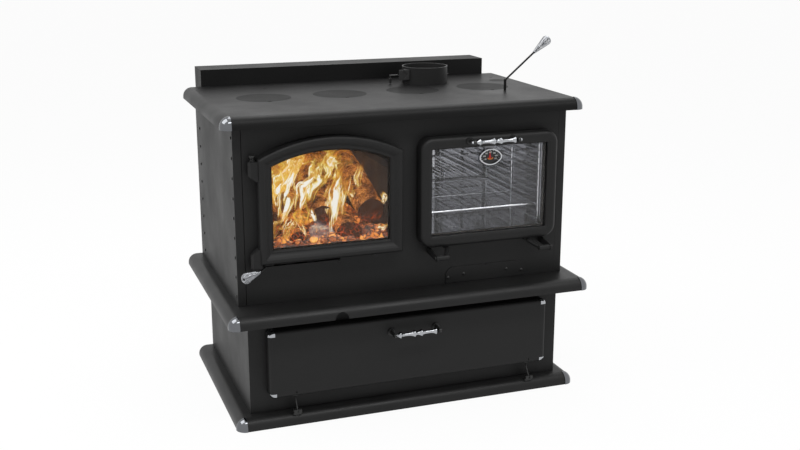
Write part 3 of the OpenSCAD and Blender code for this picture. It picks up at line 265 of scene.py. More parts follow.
def rope(name):
    """Braided glass-fibre rope: crossing diagonal strands."""
    m, t, b = start(name, {"Roughness": 0.95, "Specular IOR Level": 0.1})
    co = coords(t)
    strands = []
    for slant in (0.7, -0.7):
        slanted = add(t, "Mapping", {0: co, 2: (0, slant, 0)}).outputs[0]
        strands.append(add(t, "TexWave", {"Vector": slanted, "Scale": 190, "Distortion": 0.6}).outputs[1])
    braid = times(t, *strands)
    feed(t, b, {"Base Color": ramp(t, braid, [(0.0, (0.10, 0.09, 0.08)), (0.6, (0.36, 0.34, 0.31))])})
    bump(t, b, 0.7, 0.0012, braid)
    return m


def satin(name, base, rough):
    """Satin enamel with a fine grain."""
    m, t, b = start(name)
    fine = noise_fac(t, coords(t), 700, 2)
    feed(t, b, {"Base Color": ramp(t, fine, toned(base, 0.85)),
                "Roughness": span(t, fine, 0.3, 0.7, rough - 0.05, rough + 0.05)})
    return m


def wood_fire(name):
    """Burning log: charred bark with glowing splits low down, and rings on the sawn ends."""
    end_u = 1.5                             # the ends' UV u is below it, the bark's above
    glow_full, glow_none = 0.535, 0.60      # heights between which the glow dies out
    m, t, b = start(name, {"Roughness": 0.9, "Specular IOR Level": 0.15})
    co = coords(t)
    u = axis(t, coords(t, "UV"), 0)
    big = noise_fac(t, co, 34, 5, 0.65)
    fine = noise_fac(t, co, 230, 4, 0.7)
    mixed = plus(t, times(t, big, 0.5), times(t, fine, 0.5))
    bark = ramp(t, mixed, [(0.40, (0.012, 0.006, 0.003)), (0.47, (0.10, 0.042, 0.014)),
                           (0.54, (0.38, 0.18, 0.055)), (0.66, (0.85, 0.54, 0.20))])
    rings = calc(t, "SINE", times(t, plus(t, u, times(t, big, 0.18)), 52.0))
    sawn = ramp(t, plus(t, times(t, rings, 0.22), fine),
                [(0.2, (0.010, 0.005, 0.003)), (0.9, (0.075, 0.034, 0.015))])
    colour = blend(t, calc(t, "LESS_THAN", u, end_u), bark, sawn)
    edge = add(t, "TexVoronoi", {"Vector": co, "Scale": 70}, feature="DISTANCE_TO_EDGE").outputs[0]
    low = span(t, axis(t, co, 2), glow_full, glow_none, 1.0, 0.0)
    patches = span(t, big, 0.45, 0.6, 0.0, 1.0)
    glow = times(t, span(t, edge, 0.0, 0.09, 1.0, 0.0), times(t, low, patches))
    heat = ramp(t, glow, [(0.0, (0, 0, 0)), (0.4, (0.55, 0.06, 0.006)), (1.0, (1.0, 0.42, 0.08))])
    lit = firelit(t, 0.78, colour, (1.0, 0.62, 0.25, 1))
    feed(t, b, {"Base Color": colour, "Emission Color": blend(t, 1.0, lit, heat, "ADD"),
                "Emission Strength": 1.0})
    bump(t, b, 0.8, 0.003, mixed)
    return m


def embers(name, bias):
    """Glowing coals: dark crust between cells that glow from deep orange to pale yellow."""
    m, t, b = start(name, {"Roughness": 0.95, "Specular IOR Level": 0.1})
    co = coords(t)
    cells = {"Vector": co, "Scale": 46, "Randomness": 1.0}
    cell = add(t, "TexVoronoi", cells).outputs["Color"]
    edge = add(t, "TexVoronoi", cells, feature="DISTANCE_TO_EDGE").outputs[0]
    pick = add(t, "SeparateColor", {0: cell}).outputs[0]
    soft = noise_fac(t, co, 26, 4, 0.6)
    fine = noise_fac(t, co, 260, 3, 0.7)
    h = plus(t, plus(t, times(t, pick, 0.30), times(t, soft, 0.90)), bias)
    h = times(t, h, span(t, edge, 0.0, 0.14, 0.5, 1.0))
    h = calc(t, "SUBTRACT", h, times(t, fine, 0.25))
    heat = ramp(t, h, [(0.20, (0.012, 0.003, 0.001)), (0.36, (0.28, 0.055, 0.008)),
                       (0.50, (0.82, 0.25, 0.035)), (0.66, (1.0, 0.50, 0.09)), (0.86, (1.0, 0.86, 0.36))])
    ash = ramp(t, fine, [(0.3, (0.05, 0.035, 0.03)), (0.75, (0.30, 0.27, 0.25))])
    feed(t, b, {"Base Color": ash, "Emission Color": heat, "Emission Strength": 1.0})
    bump(t, b, 0.7, 0.002, plus(t, fine, edge))
    return m


# Flame colours from the thin edge to just short of the white core
ORANGE = [(0.70, 0.18, 0.02), (0.90, 0.33, 0.03), (1.0, 0.54, 0.07), (1.0, 0.78, 0.24)]
YELLOW = [(0.76, 0.24, 0.02), (0.94, 0.42, 0.03), (1.0, 0.62, 0.07), (1.0, 0.82, 0.24)]
GAS = [(0.16, 0.13, 0.16), (0.24, 0.20, 0.24), (0.34, 0.28, 0.28), (0.55, 0.42, 0.30)]
CORE = (1.0, 0.98, 0.90)


def flame_skin(name, veil, thread, limb, core, sway=0.9, tint=ORANGE):
    """Flame on a sheet: a golden veil, bright threads drawn up through it, bright edges and a white core.
    The sheet's UV runs -1 to 1 across it and, past a whole number that seeds it, 0 to 1 along it."""
    half = 0.62         # half width of the body, as a share of the sheet's
    m, t = blank(name)
    uv = coords(t, "UV")
    across, up = axis(t, uv, 0), axis(t, uv, 1)
    along = calc(t, "FRACT", up)
    straight = add(t, "CombineXYZ", {0: across, 1: up}).outputs[0]
    drift = noise_fac(t, stretch(t, straight, (0.8, 3.2, 1)), 1, 3, 0.5)
    swayed = plus(t, across, times(t, calc(t, "SUBTRACT", drift, 0.5), sway * 2))
    vec = add(t, "CombineXYZ", {0: swayed, 1: up}).outputs[0]
    soft = noise_fac(t, stretch(t, vec, (1.7, 2.6, 1)), 1, 4, 0.55, 0.8)
    fine = noise_fac(t, stretch(t, vec, (3.4, 2.4, 1)), 1, 3, 0.5, 1.4)
    off = calc(t, "ABSOLUTE", swayed)
    inside = step(t, off, half, 0.80, 1.0, 0.0)
    body = times(t, inside, step(t, soft, 0.30, 0.66))
    lines = times(t, step(t, far(t, fine, 0.5), 0.0, 0.055, 1.0, 0.0), inside)
    rim = times(t, step(t, far(t, off, half), 0.0, 0.13, 1.0, 0.0), step(t, soft, 0.36, 0.58))
    mid = times(t, step(t, off, 0.05, 0.5, 1.0, 0.0), step(t, soft, 0.40, 0.62))
    ends = times(t, step(t, along, 0.0, 0.15), step(t, along, 0.62, 0.99, 1.0, 0.0))
    power = plus(t, times(t, body, veil), times(t, rim, limb))
    power = plus(t, plus(t, power, times(t, lines, thread)), times(t, mid, core))
    power = times(t, power, ends)
    colour = ramp(t, power, list(zip((0.0, 0.25, 0.55, 0.80, 1.0), (*tint, CORE))))
    alpha = ramp(t, power, [(0.02, grey(0.0)), (0.30, grey(0.24)), (0.60, grey(0.58)), (0.95, grey(1.0))])
    glow = add(t, "Emission", {"Color": colour, "Strength": 1.0}).outputs[0]
    mix = add(t, "MixShader", {0: alpha, 1: add(t, "BsdfTransparent").outputs[0], 2: glow})
    add(t, "OutputMaterial", {0: mix.outputs[0]})
    return m


STRAP_HEIGHT = 0.010    # how far the strap reaches down from the top of the thermometer's case

# Paints: darkest and lightest tone, then specular level
M_PAINT = paint("sheet_paint", grey(0.008), grey(0.015), 0.22)
M_CAST = paint("cast_paint", grey(0.007), grey(0.013), 0.22, rough=0.46, grain=0.16, edge=0.002)
M_COOK = paint("cook_surface", grey(0.004), grey(0.010), 0.11, rough=0.40, grain=0.3)
M_LID = paint("lid_iron", grey(0.003), grey(0.006), 0.06, rough=0.48, grain=0.35)
M_DARK = paint("dark_fittings", grey(0.008), grey(0.016), 0.4, rough=0.34, grain=0.05, edge=0.0006)
M_PLATES = paint("plate_paint", grey(0.007), grey(0.014), 0.22, rough=0.40)
M_ROD = paint("rod_black", grey(0.004), grey(0.009), 0.14, rough=0.42, grain=0.05, edge=0.0006)
M_SHIELD = paint("shield_paint", grey(0.003), grey(0.006), 0.16)
M_INSIDE = paint("sooty_steel", (0.006, 0.005, 0.004), (0.03, 0.022, 0.016), 0.1, rough=0.8, grain=0.4)
M_BRACKET = paint("bracket_paint", grey(0.012), grey(0.030), 0.35, rough=0.36, grain=0.05, edge=0.0006)
M_NICKEL = nickel("nickel_plate", (0.40, 0.41, 0.43), 0.07)
# Corner caps: a darker copy of the nickel, painted shade standing in for the dark surroundings they reflect
M_CAP_SHADED = nickel("cap_plate_shaded", (0.15, 0.155, 0.165), 0.10)
M_WIRE = nickel("plated_wire", (0.72, 0.73, 0.76), 0.16)
M_CASE = strap_and_ring("thermometer_plate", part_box("thermometer_case")[1][2] - STRAP_HEIGHT)
M_OVEN = mirror_steel("oven_stainless", (0.41, 0.415, 0.44))
M_TUBE = rolled_steel("tube_stainless", (0.30, 0.24, 0.20), 0.35)
M_GLASS = clear_glass("oven_glass", grey(0.97), 0.032)
M_FIRE_GLASS = clear_glass("fire_glass", (0.86, 0.85, 0.84), 0.016)
M_BRICK = brickwork("firebrick")
M_ROPE = rope("rope_seal")
M_DIAL = satin("dial_enamel", (0.012, 0.012, 0.013), 0.5)
M_RED = satin("pointer_enamel", (0.75, 0.012, 0.008), 0.4)
M_MARK = satin("dial_marks", (0.72, 0.72, 0.70), 0.5)
M_AMBER = satin("dial_amber", (0.55, 0.16, 0.015), 0.5)
M_LOG = wood_fire("burning_wood")
# Embers: how much hotter than middling they are
M_COAL = embers("coals", 0.0)
M_BED = embers("ember_bed", -0.10)
# Flames: strength of veil, threads, edges and core, then sway of the threads and colours
M_FLAME = flame_skin("flame", 0.52, 0.42, 0.40, 0.22)
M_FLAME_HOT = flame_skin("flame_hot", 0.80, 0.40, 0.34, 1.0, 0.45)
M_FLAME_YELLOW = flame_skin("flame_yellow", 0.70, 0.34, 0.30, 0.25, 0.7, YELLOW)
M_FLAME_SOFT = flame_skin("flame_soft", 0.52, 0.26, 0.12, 0.05, 0.7, YELLOW)
M_FLAME_GAS = flame_skin("flame_gas", 0.70, 0.20, 0.10, 0.05, 0.4, GAS)


def give(mat, *names):
    """One material for all the slots of the named CAD nodes."""
    for n in names:
        o = NODES[n]
        if not o.material_slots:
            o.data.materials.append(mat)
        for s in o.material_slots:
            s.material = mat


give(M_PAINT, "plinth_panels", "plinth_front", "storage_floor", "body_sides",
     "body_back", "front_panel", "soot_cover", "storage_door_pan")
give(M_SHIELD, "rear_heat_shield")
give(M_CAST, "fire_door_frame", "oven_door_frame", "fire_hinge_ears", "flue_collar",
     "oven_hinge_brackets", "oven_hinge_arms", "lever_bushing", "damper_vane")
give(M_BRACKET, "damper_bracket")
give(M_COOK, "cooktop")
give(M_PLATES, "base_plate", "shelf_plate")
give(M_ROD, "bypass_rod")
give(M_LID, "lid_1", "lid_2", "lid_3", "lid_4", "inspection_plug")
give(M_DARK, "screws", "fire_hinge_pins", "storage_hinge_blocks", "storage_hinge_arms", "damper_spindle",
     "air_slide", "oven_handle_posts", "storage_handle_posts", "bypass_gate")
give(M_INSIDE, "firebox_shell", "fire_door_retainer", "oven_door_retainer")
give(M_CAP_SHADED, "base_corner_caps", "shelf_corner_caps", "cooktop_corner_caps")
give(M_NICKEL, "storage_door_trims", "oven_handle_grip", "storage_handle_grip", "bypass_grip", "air_grip")
give(M_CASE, "thermometer_case")
give(M_WIRE, "oven_rack", "oven_guides")
give(M_OVEN, "oven_liner")
give(M_TUBE, "air_tubes")
give(M_GLASS, "oven_door_glass")
give(M_FIRE_GLASS, "fire_door_glass")
give(M_BRICK, "firebricks", "baffle")
give(M_ROPE, "fire_door_gasket")
give(M_DIAL, "thermometer_dial")
give(M_RED, "thermometer_pointer")


# ---------- mesh helpers ----------

def place(name, data):
    """New object in the scene, of a mesh, curve, lamp or camera."""
    o = bpy.data.objects.new(name, data)
    scene.collection.objects.link(o)
    return o


def piece(name, verts, faces, body, mat, smooth=True, uv=None):
    """New mesh piece that rides on a body; uv has one pair a vertex."""
    me = bpy.data.meshes.new(name)
    me.from_pydata([tuple(v) for v in verts], [], faces)
    me.validate()
    me.update()
    if smooth:
        me.polygons.foreach_set("use_smooth", [True] * len(me.polygons))
    if uv:
        lay = me.uv_layers.new(name="UVMap")
        for poly in me.polygons:
            for li, vi in zip(poly.loop_indices, poly.vertices):
                lay.data[li].uv = uv[vi]
    o = place(name, me)
    me.materials.append(mat)
    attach(o, body)
    return o


def angles(sides):
    """Equal steps round a circle."""
    return [2 * math.pi * k / sides for k in range(sides)]


def grid(rows, cols, ring=False, base=0):
    """Faces between rows + 1 lines of points, numbered from base: cols + 1 a line, or cols in a ring."""
    n = cols if ring else cols + 1
    faces = []
    for i in range(rows):
        for k in range(cols):
            a, b = base + i * n + k, base + i * n + (k + 1) % n
            faces.append((a, b, b + n, a + n))
    return faces


def turned(faces):
    """Faces looking the other way."""
    return [q[::-1] for q in faces]


def capped(rows, sides):
    """Faces of a closed tube of rows + 1 rings."""
    return grid(rows, sides, ring=True) + [tuple(reversed(range(sides))),
                                           tuple(range(rows * sides, (rows + 1) * sides))]


def frames(pts):
    """Normal and binormal carried along a line of points without twist."""
    out = []
    prev = None
    for i in range(len(pts)):
        tg = (pts[min(i + 1, len(pts) - 1)] - pts[max(i - 1, 0)]).normalized()
        if prev is None:
            prev = Vector((0, 0, 1)) if abs(tg.z) < 0.9 else Vector((1, 0, 0))
        prev = (prev - tg * prev.dot(tg)).normalized()
        out.append((prev, tg.cross(prev)))
    return out


def tube(pts, radius, sides):
    """Round tube along points."""
    v = [p + (nr * math.cos(a) + bn * math.sin(a)) * radius
         for p, (nr, bn) in zip(pts, frames(pts)) for a in angles(sides)]
    return v, capped(len(pts) - 1, sides)


def lathe(profile, sides):
    """Turned solid round +Z from (z, r) pairs."""
    v = [Vector((r * math.cos(a), r * math.sin(a), z)) for z, r in profile for a in angles(sides)]
    return v, capped(len(profile) - 1, sides)


def catmull(a, b, c, d, u):
    """Catmull-Rom curve at share u of the way from b to c."""
    return 0.5 * (2 * b + (c - a) * u + (2 * a - 5 * b + 4 * c - d) * u * u
                  + (3 * b - a - 3 * c + d) * u ** 3)


def mm(*v):
    """Vector in metres from millimetres."""
    return Vector([q / 1000 for q in v])


# ---------- spring grips ----------

# Radii of the coiled wire, of the rod inside it, of the rod's end and of the bore in the bright collar
WIRE, ROD, KNOB, COLLAR_BORE = 0.00105, 0.0022, 0.003, 0.0024
CONE_START, CONE_END = 0.005, 0.016     # outer radius of the coil at the rod and at the dome
DOME_HEIGHT = CONE_END * 0.8
COIL_PITCH, TURN_POINTS = 0.0036, 26
GRIP_GAP = 0.0003                       # between the end of the CAD's rod and the grip


def coil_line(length):
    """Outline of the grip as (z, r): a cone that runs into a flattened dome."""
    c = length - DOME_HEIGHT
    a = math.asin((CONE_END - CONE_START) / c)
    line = [(0.0, CONE_START), (c - DOME_HEIGHT * math.sin(a), CONE_END * math.cos(a))]
    for d in range(int(-math.degrees(a)) + 6, 87, 6):
        line.append((c + DOME_HEIGHT * math.sin(math.radians(d)), CONE_END * math.cos(math.radians(d))))
    return line


def coil(line, length):
    """Points of the wire, wound inside the outline and closer together where the dome is flat."""
    pts, turn, z, k = [], 0.0, WIRE, 0
    while z < length - WIRE:
        while k < len(line) - 2 and z > line[k + 1][0]:
            k += 1
        (za, ra), (zb, rb) = line[k], line[k + 1]
        r = max(ra + (rb - ra) * min((z - za) / (zb - za), 1) - WIRE, 0.0006)
        pts.append(Vector((r * math.cos(turn), r * math.sin(turn), z)))
        turn += 2 * math.pi / TURN_POINTS
        lean = math.hypot(zb - za, rb - ra) / (zb - za)
        z += COIL_PITCH / TURN_POINTS / min(lean, 3.0)
    return pts


def coil_grip(node, body, at, direction, length):
    """Open spring grip in place of a CAD grip, from where the CAD's rod ends and along it: bright wire with
    a domed end, and a dark rod showing through it."""
    name = node + "_coil"
    direction = Vector(direction).normalized()
    m = (Matrix.Translation(Vector(at) + direction * GRIP_GAP)
         @ direction.to_track_quat("Z", "Y").to_matrix().to_4x4())
    v, f = tube(coil(coil_line(length), length), WIRE, 6)
    o = piece(name, [m @ q for q in v], f, body, M_NICKEL)
    v, f = lathe([(0.0, ROD), (length - 0.006, ROD), (length - 0.0045, KNOB), (length - 0.002, KNOB),
                  (length - 0.0012, ROD)], 20)
    piece(name + "_rod", [m @ q for q in v], f, body, M_DARK)
    v, f = lathe([(0.0002, COLLAR_BORE), (0.0002, CONE_START - 0.0004), (0.004, CONE_START + 0.0002),
                  (0.0052, COLLAR_BORE)], 24)
    piece(name + "_collar", [m @ q for q in v], f, body, M_NICKEL)
    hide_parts(node)


coil_grip("bypass_grip", "bypass_lever", (0.496, -0.115, 1.046), (98, 0, 83), 0.070)
coil_grip("air_grip", "air_control", (-0.462, -0.321, 0.473), (-42, -28, -3.3), 0.067)


# ---------- thermometer face ----------

DIAL_SWEEP = 120        # degrees from the middle of the scale to either end
DIAL_LIFT = 0.00012     # of the numbers off the dial
MARK_LIFT = 0.0001      # of the ticks and the band off the numbers' plane


def numeral(text, x, y, z, size):
    """A plain number standing on the dial, as a thin mesh."""
    cu = bpy.data.curves.new("numeral", "FONT")
    cu.body = text
    cu.size = size
    cu.align_x = "CENTER"
    cu.align_y = "CENTER"
    cu.extrude = 0.0001
    o = place("numeral", cu)
    bpy.context.view_layer.update()
    me = bpy.data.meshes.new_from_object(o)
    bpy.data.objects.remove(o)
    me.transform(Matrix.Translation((x, y, z)) @ Matrix.Rotation(math.pi / 2, 4, "X"))
    return me


def join(name, meshes, body, mat):
    """One piece from several meshes."""
    v, f = [], []
    for me in meshes:
        k = len(v)
        v += [q.co.copy() for q in me.vertices]
        f += [[i + k for i in p.vertices] for p in me.polygons]
    piece(name, v, f, body, mat, smooth=False)


def dial():
    """Numbers 100 to 700 with ticks round an oval dial, and an amber band low on it."""
    lo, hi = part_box("thermometer_dial")
    cx, cz = (lo.x + hi.x) / 2, (lo.z + hi.z) / 2
    a, b = (hi.x - lo.x) / 2, (hi.z - lo.z) / 2
    y = lo.y - DIAL_LIFT
    number_x, number_z, number_size = 0.62, 0.66, 0.0062
    tick_ends, tick_half = (0.86, 0.94), 0.03
    band_edges, band_rise, band_steps = (0.34, 0.22), 1.25, 28
    marks = []
    for i in range(7):
        t = math.radians(-DIAL_SWEEP + 40 * i)
        marks.append(numeral(str(100 * (i + 1)), cx + a * number_x * math.sin(t), y,
                             cz + b * number_z * math.cos(t), number_size))
    for i in range(13):
        t = math.radians(-DIAL_SWEEP + 20 * i)
        v = [(cx + a * r * math.sin(t + w), y - MARK_LIFT, cz + b * r * math.cos(t + w))
             for r in tick_ends for w in (-tick_half, tick_half)]
        me = bpy.data.meshes.new("tick")
        me.from_pydata(v, [], [(0, 1, 3, 2)])
        marks.append(me)
    join("dial_marks", marks, "oven_door", M_MARK)
    v = []
    for k in band_edges:
        for i in range(band_steps + 1):
            t = math.radians(112 + 136 * i / band_steps)
            v.append((cx + a * k * math.sin(t), y - MARK_LIFT, cz + b * k * band_rise * math.cos(t)))
    piece("dial_band", v, grid(1, band_steps), "oven_door", M_AMBER, smooth=False)


dial()


# ---------- fire ----------

def bark(a, s, seed):
    """Bark's relief as a share of the radius, at angle a and at share s of the log's length."""
    q = Vector((math.cos(a) * 2.2, math.sin(a) * 2.2, s * 3.0 + seed * 7.1))
    ridges = Vector((math.cos(a) * 7, math.sin(a) * 7, s * 4 + seed))
    w = 0.09 * noise.noise(q) + 0.055 * noise.noise(q * 3.1) + 0.05 * abs(noise.noise(ridges))
    return w + 0.02 * noise.noise(q * 9.0)


def log(name, front, back, r, seed, flat=1.0):
    """Log: lumpy bark round a bent axis, sawn ends with their own vertices for crisp rings."""
    rows, sides = 44, 52
    front, back = mm(*front), mm(*back)
    d = (back - front).normalized()
    up = (Vector((0, 0, 1)) - d * d.z).normalized()
    right = d.cross(up)
    bend = up * 0.006 * (1 if seed % 2 else -1)
    v, uv = [], []
    for i in range(rows + 1):
        s = i / rows
        c = front.lerp(back, s) + bend * math.sin(math.pi * s)
        for k, a in enumerate(angles(sides)):
            rr = r * (1 + bark(a, s, seed))
            v.append(c + right * math.cos(a) * rr + up * math.sin(a) * rr * flat)
            uv.append((2 + s, k / sides))
    f = turned(grid(rows, sides, ring=True))
    for c, base, out in ((front, 0, 1), (back, rows * sides, -1)):
        rim = len(v)
        for k in range(sides):
            v.append(v[base + k].copy())
            uv.append((1.0, k / sides))
        for inner in (0.62, 0.3):
            for k in range(sides):
                q = c.lerp(v[base + k], inner)
                v.append(q - d * (0.0025 * noise.noise(q * 90 + Vector((seed, 0, 0)))) * out)
                uv.append((inner, k / sides))
        last, tip = len(v) - sides, len(v)
        v.append(c.copy())
        uv.append((0.0, 0.5))
        end = grid(2, sides, ring=True, base=rim)
        end += [(last + k, last + (k + 1) % sides, tip) for k in range(sides)]
        f += end if out > 0 else turned(end)
    piece(name, v, f, "stove", M_LOG, uv=uv)


log("log_middle", (-233, -190, 590), (-214, 60, 640), 0.033, 1)
log("log_low_right", (-174, -264, 548), (-150, -20, 566), 0.040, 2, 0.92)
log("log_right", (-86, -205, 596), (-74, 120, 690), 0.041, 3)
log("log_low_left", (-331, -262, 544), (-322, -60, 560), 0.024, 4)
log("log_left", (-400, -200, 575), (-392, 120, 600), 0.040, 5)
log("log_back", (-262, -60, 606), (-170, 20, 716), 0.055, 6)
log("log_top", (-330, -90, 610), (-60, 60, 640), 0.036, 7)


def bed():
    """Bed of ash and embers on the brick floor, uneven, with its rim on the floor."""
    x0, x1, y0, y1, floor_z = -0.437, -0.049, -0.291, 0.158, 0.5203
    nx, ny = 130, 150
    v = []
    for j in range(ny + 1):
        for i in range(nx + 1):
            x, y = x0 + (x1 - x0) * i / nx, y0 + (y1 - y0) * j / ny
            q = Vector((x * 22, y * 22, 0.3))
            h = 0.010 + 0.007 * noise.noise(q)
            h = h + 0.006 * abs(noise.noise(q * 3.3)) + 0.003 * noise.noise(q * 8)
            inside = min(i, nx - i, j, ny - j)
            v.append(Vector((x, y, floor_z + (max(h, 0.001) if inside else 0.0))))
    piece("ember_bed", v, grid(ny, nx), "stove", M_BED)


bed()

# Heaps of loose coals in mm: middle x and y, spread in x and y, count, least and greatest radius
HEAPS = [(-100, -235, 46, 30, 34, 9, 20), (-245, -262, 90, 22, 26, 7, 13), (-330, -230, 60, 34, 18, 6, 12),
         (-60, -250, 14, 30, 12, 8, 14), (-220, -60, 120, 90, 40, 8, 18)]
COALS_X, COALS_Y, COALS_Z = (-418, -64), (-272, 130), 0.532


def within(v, limits):
    """Value kept between two limits."""
    return min(max(v, limits[0]), limits[1])


def coals():
    """Loose glowing coals, thickest at the right front and along the sill."""
    rows, sides = 7, 10
    rnd = random.Random(11)
    v, f = [], []
    for cx, cy, sx, sy, count, rmin, rmax in HEAPS:
        for _ in range(count):
            r = rnd.uniform(rmin, rmax) / 1000
            x = within(cx + rnd.gauss(0, 0.5) * sx, COALS_X) / 1000
            y = within(cy + rnd.gauss(0, 0.5) * sy, COALS_Y) / 1000
            z = COALS_Z + r * rnd.uniform(0.2, 0.9)
            seed = rnd.uniform(0, 90)
            rot = Matrix.Rotation(rnd.uniform(0, 6.28), 3, "Z")
            rot = rot @ Matrix.Rotation(rnd.uniform(-0.5, 0.5), 3, "X")
            f += [(a, e, d, b) for a, b, d, e in grid(rows, sides, ring=True, base=len(v))]
            for i in range(rows + 1):
                th = math.pi * i / rows
                for ph in angles(sides):
                    q = Vector((math.sin(th) * math.cos(ph), math.sin(th) * math.sin(ph), math.cos(th)))
                    w = 1 + 0.35 * noise.noise(q * 1.3 + Vector((seed, 0, 0)))
                    q = Vector((q.x * 1.2, q.y * 0.9, q.z * 0.75)) * r * w
                    v.append(rot @ q + Vector((x, y, z)))
    piece("coals", v, f, "stove", M_COAL)


coals()


def flame(name, y, mat, line, seed):
    """One tongue: a bowed, slightly twisted sheet along a wandering spine of (x, z, half width) in mm."""
    rows, cols = 46, 12
    widen, twist, bow, ripple = 1.5, 0.25, 6, 5     # sheet over body, radians, mm, mm
    spine = []
    for i in range(rows + 1):
        u = i / rows * (len(line) - 1)
        k = min(int(u), len(line) - 2)
        near = (line[max(k - 1, 0)], line[k], line[k + 1], line[min(k + 2, len(line) - 1)])
        spine.append([catmull(*q, u - k) for q in zip(*near)])
    v, uv = [], []
    for i, (x, z, half) in enumerate(spine):
        s = i / rows
        nxt, prv = spine[min(i + 1, rows)], spine[max(i - 1, 0)]
        tx, tz = nxt[0] - prv[0], nxt[1] - prv[1]
        n = math.hypot(tx, tz) or 1.0
        ax, az = tz / n, -tx / n
        turn = twist * math.sin(5 * s + 3.7 * seed)
        for j in range(cols + 1):
            c = 2 * j / cols - 1
            wide = max(half, 2.0) * widen * c
            depth = (y + wide * turn - bow * (1 - c * c)
                     + ripple * noise.noise(Vector((s * 5, c * 1.5, 3.7 * seed))))
            v.append(mm(x + ax * wide * math.cos(turn), depth, z + az * wide))
            uv.append((c, min(s, 0.9995) + 3 * seed))
    piece(name, v, grid(rows, cols), "stove", mat, uv=uv)


# Depth y in mm, material and spine of each tongue
FLAMES = [
    (-235, M_FLAME_HOT, [(-378, 589, 11), (-367, 630, 17), (-357, 666, 23), (-351, 699, 20),
                         (-341, 728, 11), (-328, 757, 7), (-315, 789, 4)]),
    (-228, M_FLAME_HOT, [(-387, 640, 8), (-386, 673, 12), (-376, 699, 12), (-363, 725, 7)]),
    (-225, M_FLAME_HOT, [(-323, 606, 6), (-316, 642, 11), (-309, 672, 15), (-312, 696, 15), (-299, 701, 11),
                         (-281, 715, 9), (-262, 732, 8), (-240, 751, 5)]),
    (-150, M_FLAME_YELLOW, [(-269, 620, 13), (-255, 663, 19), (-239, 699, 25), (-225, 729, 28),
                            (-216, 753, 28), (-206, 783, 22)]),
    (-120, M_FLAME_YELLOW, [(-189, 683, 13), (-185, 707, 19), (-185, 736, 24), (-178, 760, 22),
                            (-171, 778, 16)]),
    (-200, M_FLAME_HOT, [(-203, 524, 7), (-209, 546, 9), (-205, 586, 11), (-201, 626, 16), (-200, 660, 18),
                         (-194, 691, 13), (-181, 721, 10), (-187, 746, 5)]),
    (-190, M_FLAME, [(-214, 588, 8), (-220, 622, 13), (-216, 653, 14), (-207, 680, 9), (-197, 704, 6)]),
    (-175, M_FLAME, [(-185, 543, 8), (-175, 590, 13), (-168, 627, 15), (-161, 661, 15), (-154, 698, 13),
                     (-157, 735, 8)]),
    (-140, M_FLAME, [(-77, 537, 6), (-93, 571, 8), (-109, 604, 10), (-125, 634, 11), (-138, 667, 11),
                     (-144, 699, 8)]),
    (-130, M_FLAME, [(-86, 597, 7), (-93, 630, 11), (-99, 662, 13), (-102, 694, 13), (-95, 725, 11),
                     (-88, 753, 8)]),
    (-245, M_FLAME, [(-406, 545, 8), (-396, 575, 11), (-377, 597, 13), (-355, 623, 10), (-339, 649, 5)]),
    (-240, M_FLAME, [(-368, 540, 8), (-358, 567, 12), (-343, 593, 12), (-330, 619, 9)]),
    (-230, M_FLAME, [(-305, 531, 6), (-307, 563, 7), (-316, 591, 8), (-318, 619, 7), (-308, 649, 5)]),
    (-215, M_FLAME_HOT, [(-265, 583, 6), (-274, 605, 8), (-283, 631, 4)]),
    (-225, M_FLAME_YELLOW, [(-400, 673, 15), (-393, 709, 21), (-383, 738, 24), (-364, 766, 21)]),
    (-100, M_FLAME, [(-316, 701, 16), (-300, 731, 22), (-277, 748, 22), (-258, 768, 16)]),
    (-262, M_FLAME_HOT, [(-70, 632, 5), (-62, 650, 9), (-74, 670, 5)]),
    (-255, M_FLAME_HOT, [(-83, 561, 5), (-64, 556, 8), (-48, 567, 5)]),
    (-262, M_FLAME_HOT, [(-295, 539, 5), (-274, 528, 9), (-246, 524, 9), (-224, 529, 7), (-214, 547, 4)]),
    (-60, M_FLAME_SOFT, [(-349, 524, 38), (-331, 601, 48), (-310, 679, 51), (-289, 753, 44)]),
    (-20, M_FLAME_SOFT, [(-208, 581, 40), (-200, 646, 49), (-186, 700, 59), (-171, 763, 52)]),
    (0, M_FLAME_SOFT, [(-130, 566, 26), (-128, 629, 34), (-122, 688, 38), (-116, 746, 34)]),
    (-90, M_FLAME_SOFT, [(-270, 536, 26), (-266, 587, 32), (-252, 633, 35), (-238, 680, 26)]),
    (-250, M_FLAME_GAS, [(-245, 528, 28), (-254, 550, 34), (-251, 572, 34), (-244, 590, 25)]),
    (80, M_FLAME_SOFT, [(-360, 560, 60), (-340, 650, 66), (-320, 720, 62), (-300, 792, 50)]),
    (100, M_FLAME_SOFT, [(-180, 600, 66), (-165, 670, 72), (-150, 735, 66), (-140, 794, 56)]),
    (60, M_FLAME_YELLOW, [(-270, 600, 36), (-252, 670, 46), (-232, 730, 44), (-215, 792, 34)]),
]
for number, tongue in enumerate(FLAMES, 1):
    flame("flame_%d" % number, *tongue, number)


# ---------- floor, light, camera ----------

def background(t):
    """1 for the rays that show the background: to the camera, in metal and through glass."""
    rays = add(t, "LightPath").outputs
    return calc(t, "MAXIMUM", calc(t, "MAXIMUM", rays["Is Camera Ray"], rays["Is Glossy Ray"]),
                rays["Is Transmission Ray"])


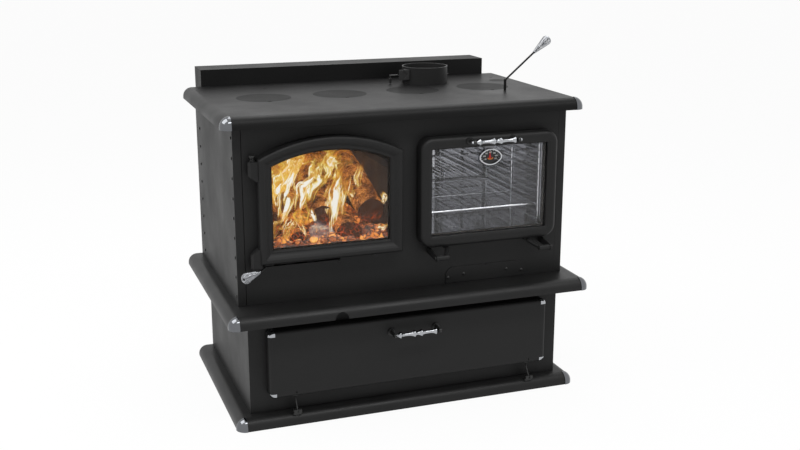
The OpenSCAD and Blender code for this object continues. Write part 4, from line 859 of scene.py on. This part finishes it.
def floor():
    """Wide pale floor that takes the stove's shadow."""
    cells, size, glow = 24, 44.0, 0.95
    v = [((i / cells - 0.5) * size, (j / cells - 0.5) * size, 0)
         for j in range(cells + 1) for i in range(cells + 1)]
    me = bpy.data.meshes.new("floor")
    me.from_pydata(v, [], grid(cells, cells))
    m, t = blank("pale_floor")
    pale = add(t, "BsdfDiffuse", {"Color": (0.80, 0.80, 0.80, 1)})
    lit = add(t, "Emission", {"Color": WHITE, "Strength": 1.0})
    mix = add(t, "MixShader", {0: times(t, background(t), glow), 1: pale.outputs[0], 2: lit.outputs[0]})
    add(t, "OutputMaterial", {0: mix.outputs[0]})
    me.materials.append(m)
    o = place("floor", me)


def studio():
    """Soft even light from all round, in front of a white background."""
    scene.world = bpy.data.worlds.new("studio")
    scene.world.use_nodes = True
    t = scene.world.node_tree
    t.nodes.clear()
    soft = add(t, "Background", {"Color": WHITE, "Strength": 0.45})
    seen = add(t, "Background", {"Color": WHITE, "Strength": 1.0})
    mix = add(t, "MixShader", {0: background(t), 1: soft.outputs[0], 2: seen.outputs[0]})
    add(t, "OutputWorld", {0: mix.outputs[0]})


def lamp(name, loc, target, size, power, depth=None):
    """Rectangular area lamp that looks at a target."""
    d = bpy.data.lights.new(name, "AREA")
    d.shape = "RECTANGLE"
    d.size = size
    d.size_y = depth or size
    d.energy = power
    o = place(name, d)
    o.location = loc
    o.rotation_euler = (Vector(target) - Vector(loc)).to_track_quat("-Z", "Y").to_euler()


floor()
studio()
lamp("key_soft", (-2.4, 0.2, 3.2), (0, 0, 0.6), 2.4, 70)
lamp("top_soft", (0.6, 1.0, 3.6), (0, 0, 0.8), 2.6, 60)
lamp("front_soft", (0.2, -1.9, 3.1), (0.1, -0.3, 0.5), 3.4, 46, 0.5)

# Camera fitted to the edges of the three plates and the ellipses of the collar in the photograph
cam_data = bpy.data.cameras.new("camera")
cam = place("camera", cam_data)
cam_data.sensor_width = 36
cam_data.lens = 49.84
cam.location = (-1.1160, -3.3200, 1.4369)
cam.rotation_euler = (math.radians(74.89), 0, math.radians(-19.86))
cam_data.clip_start = 0.05
cam_data.clip_end = 60
scene.camera = cam
scene.view_settings.view_transform = "Standard"
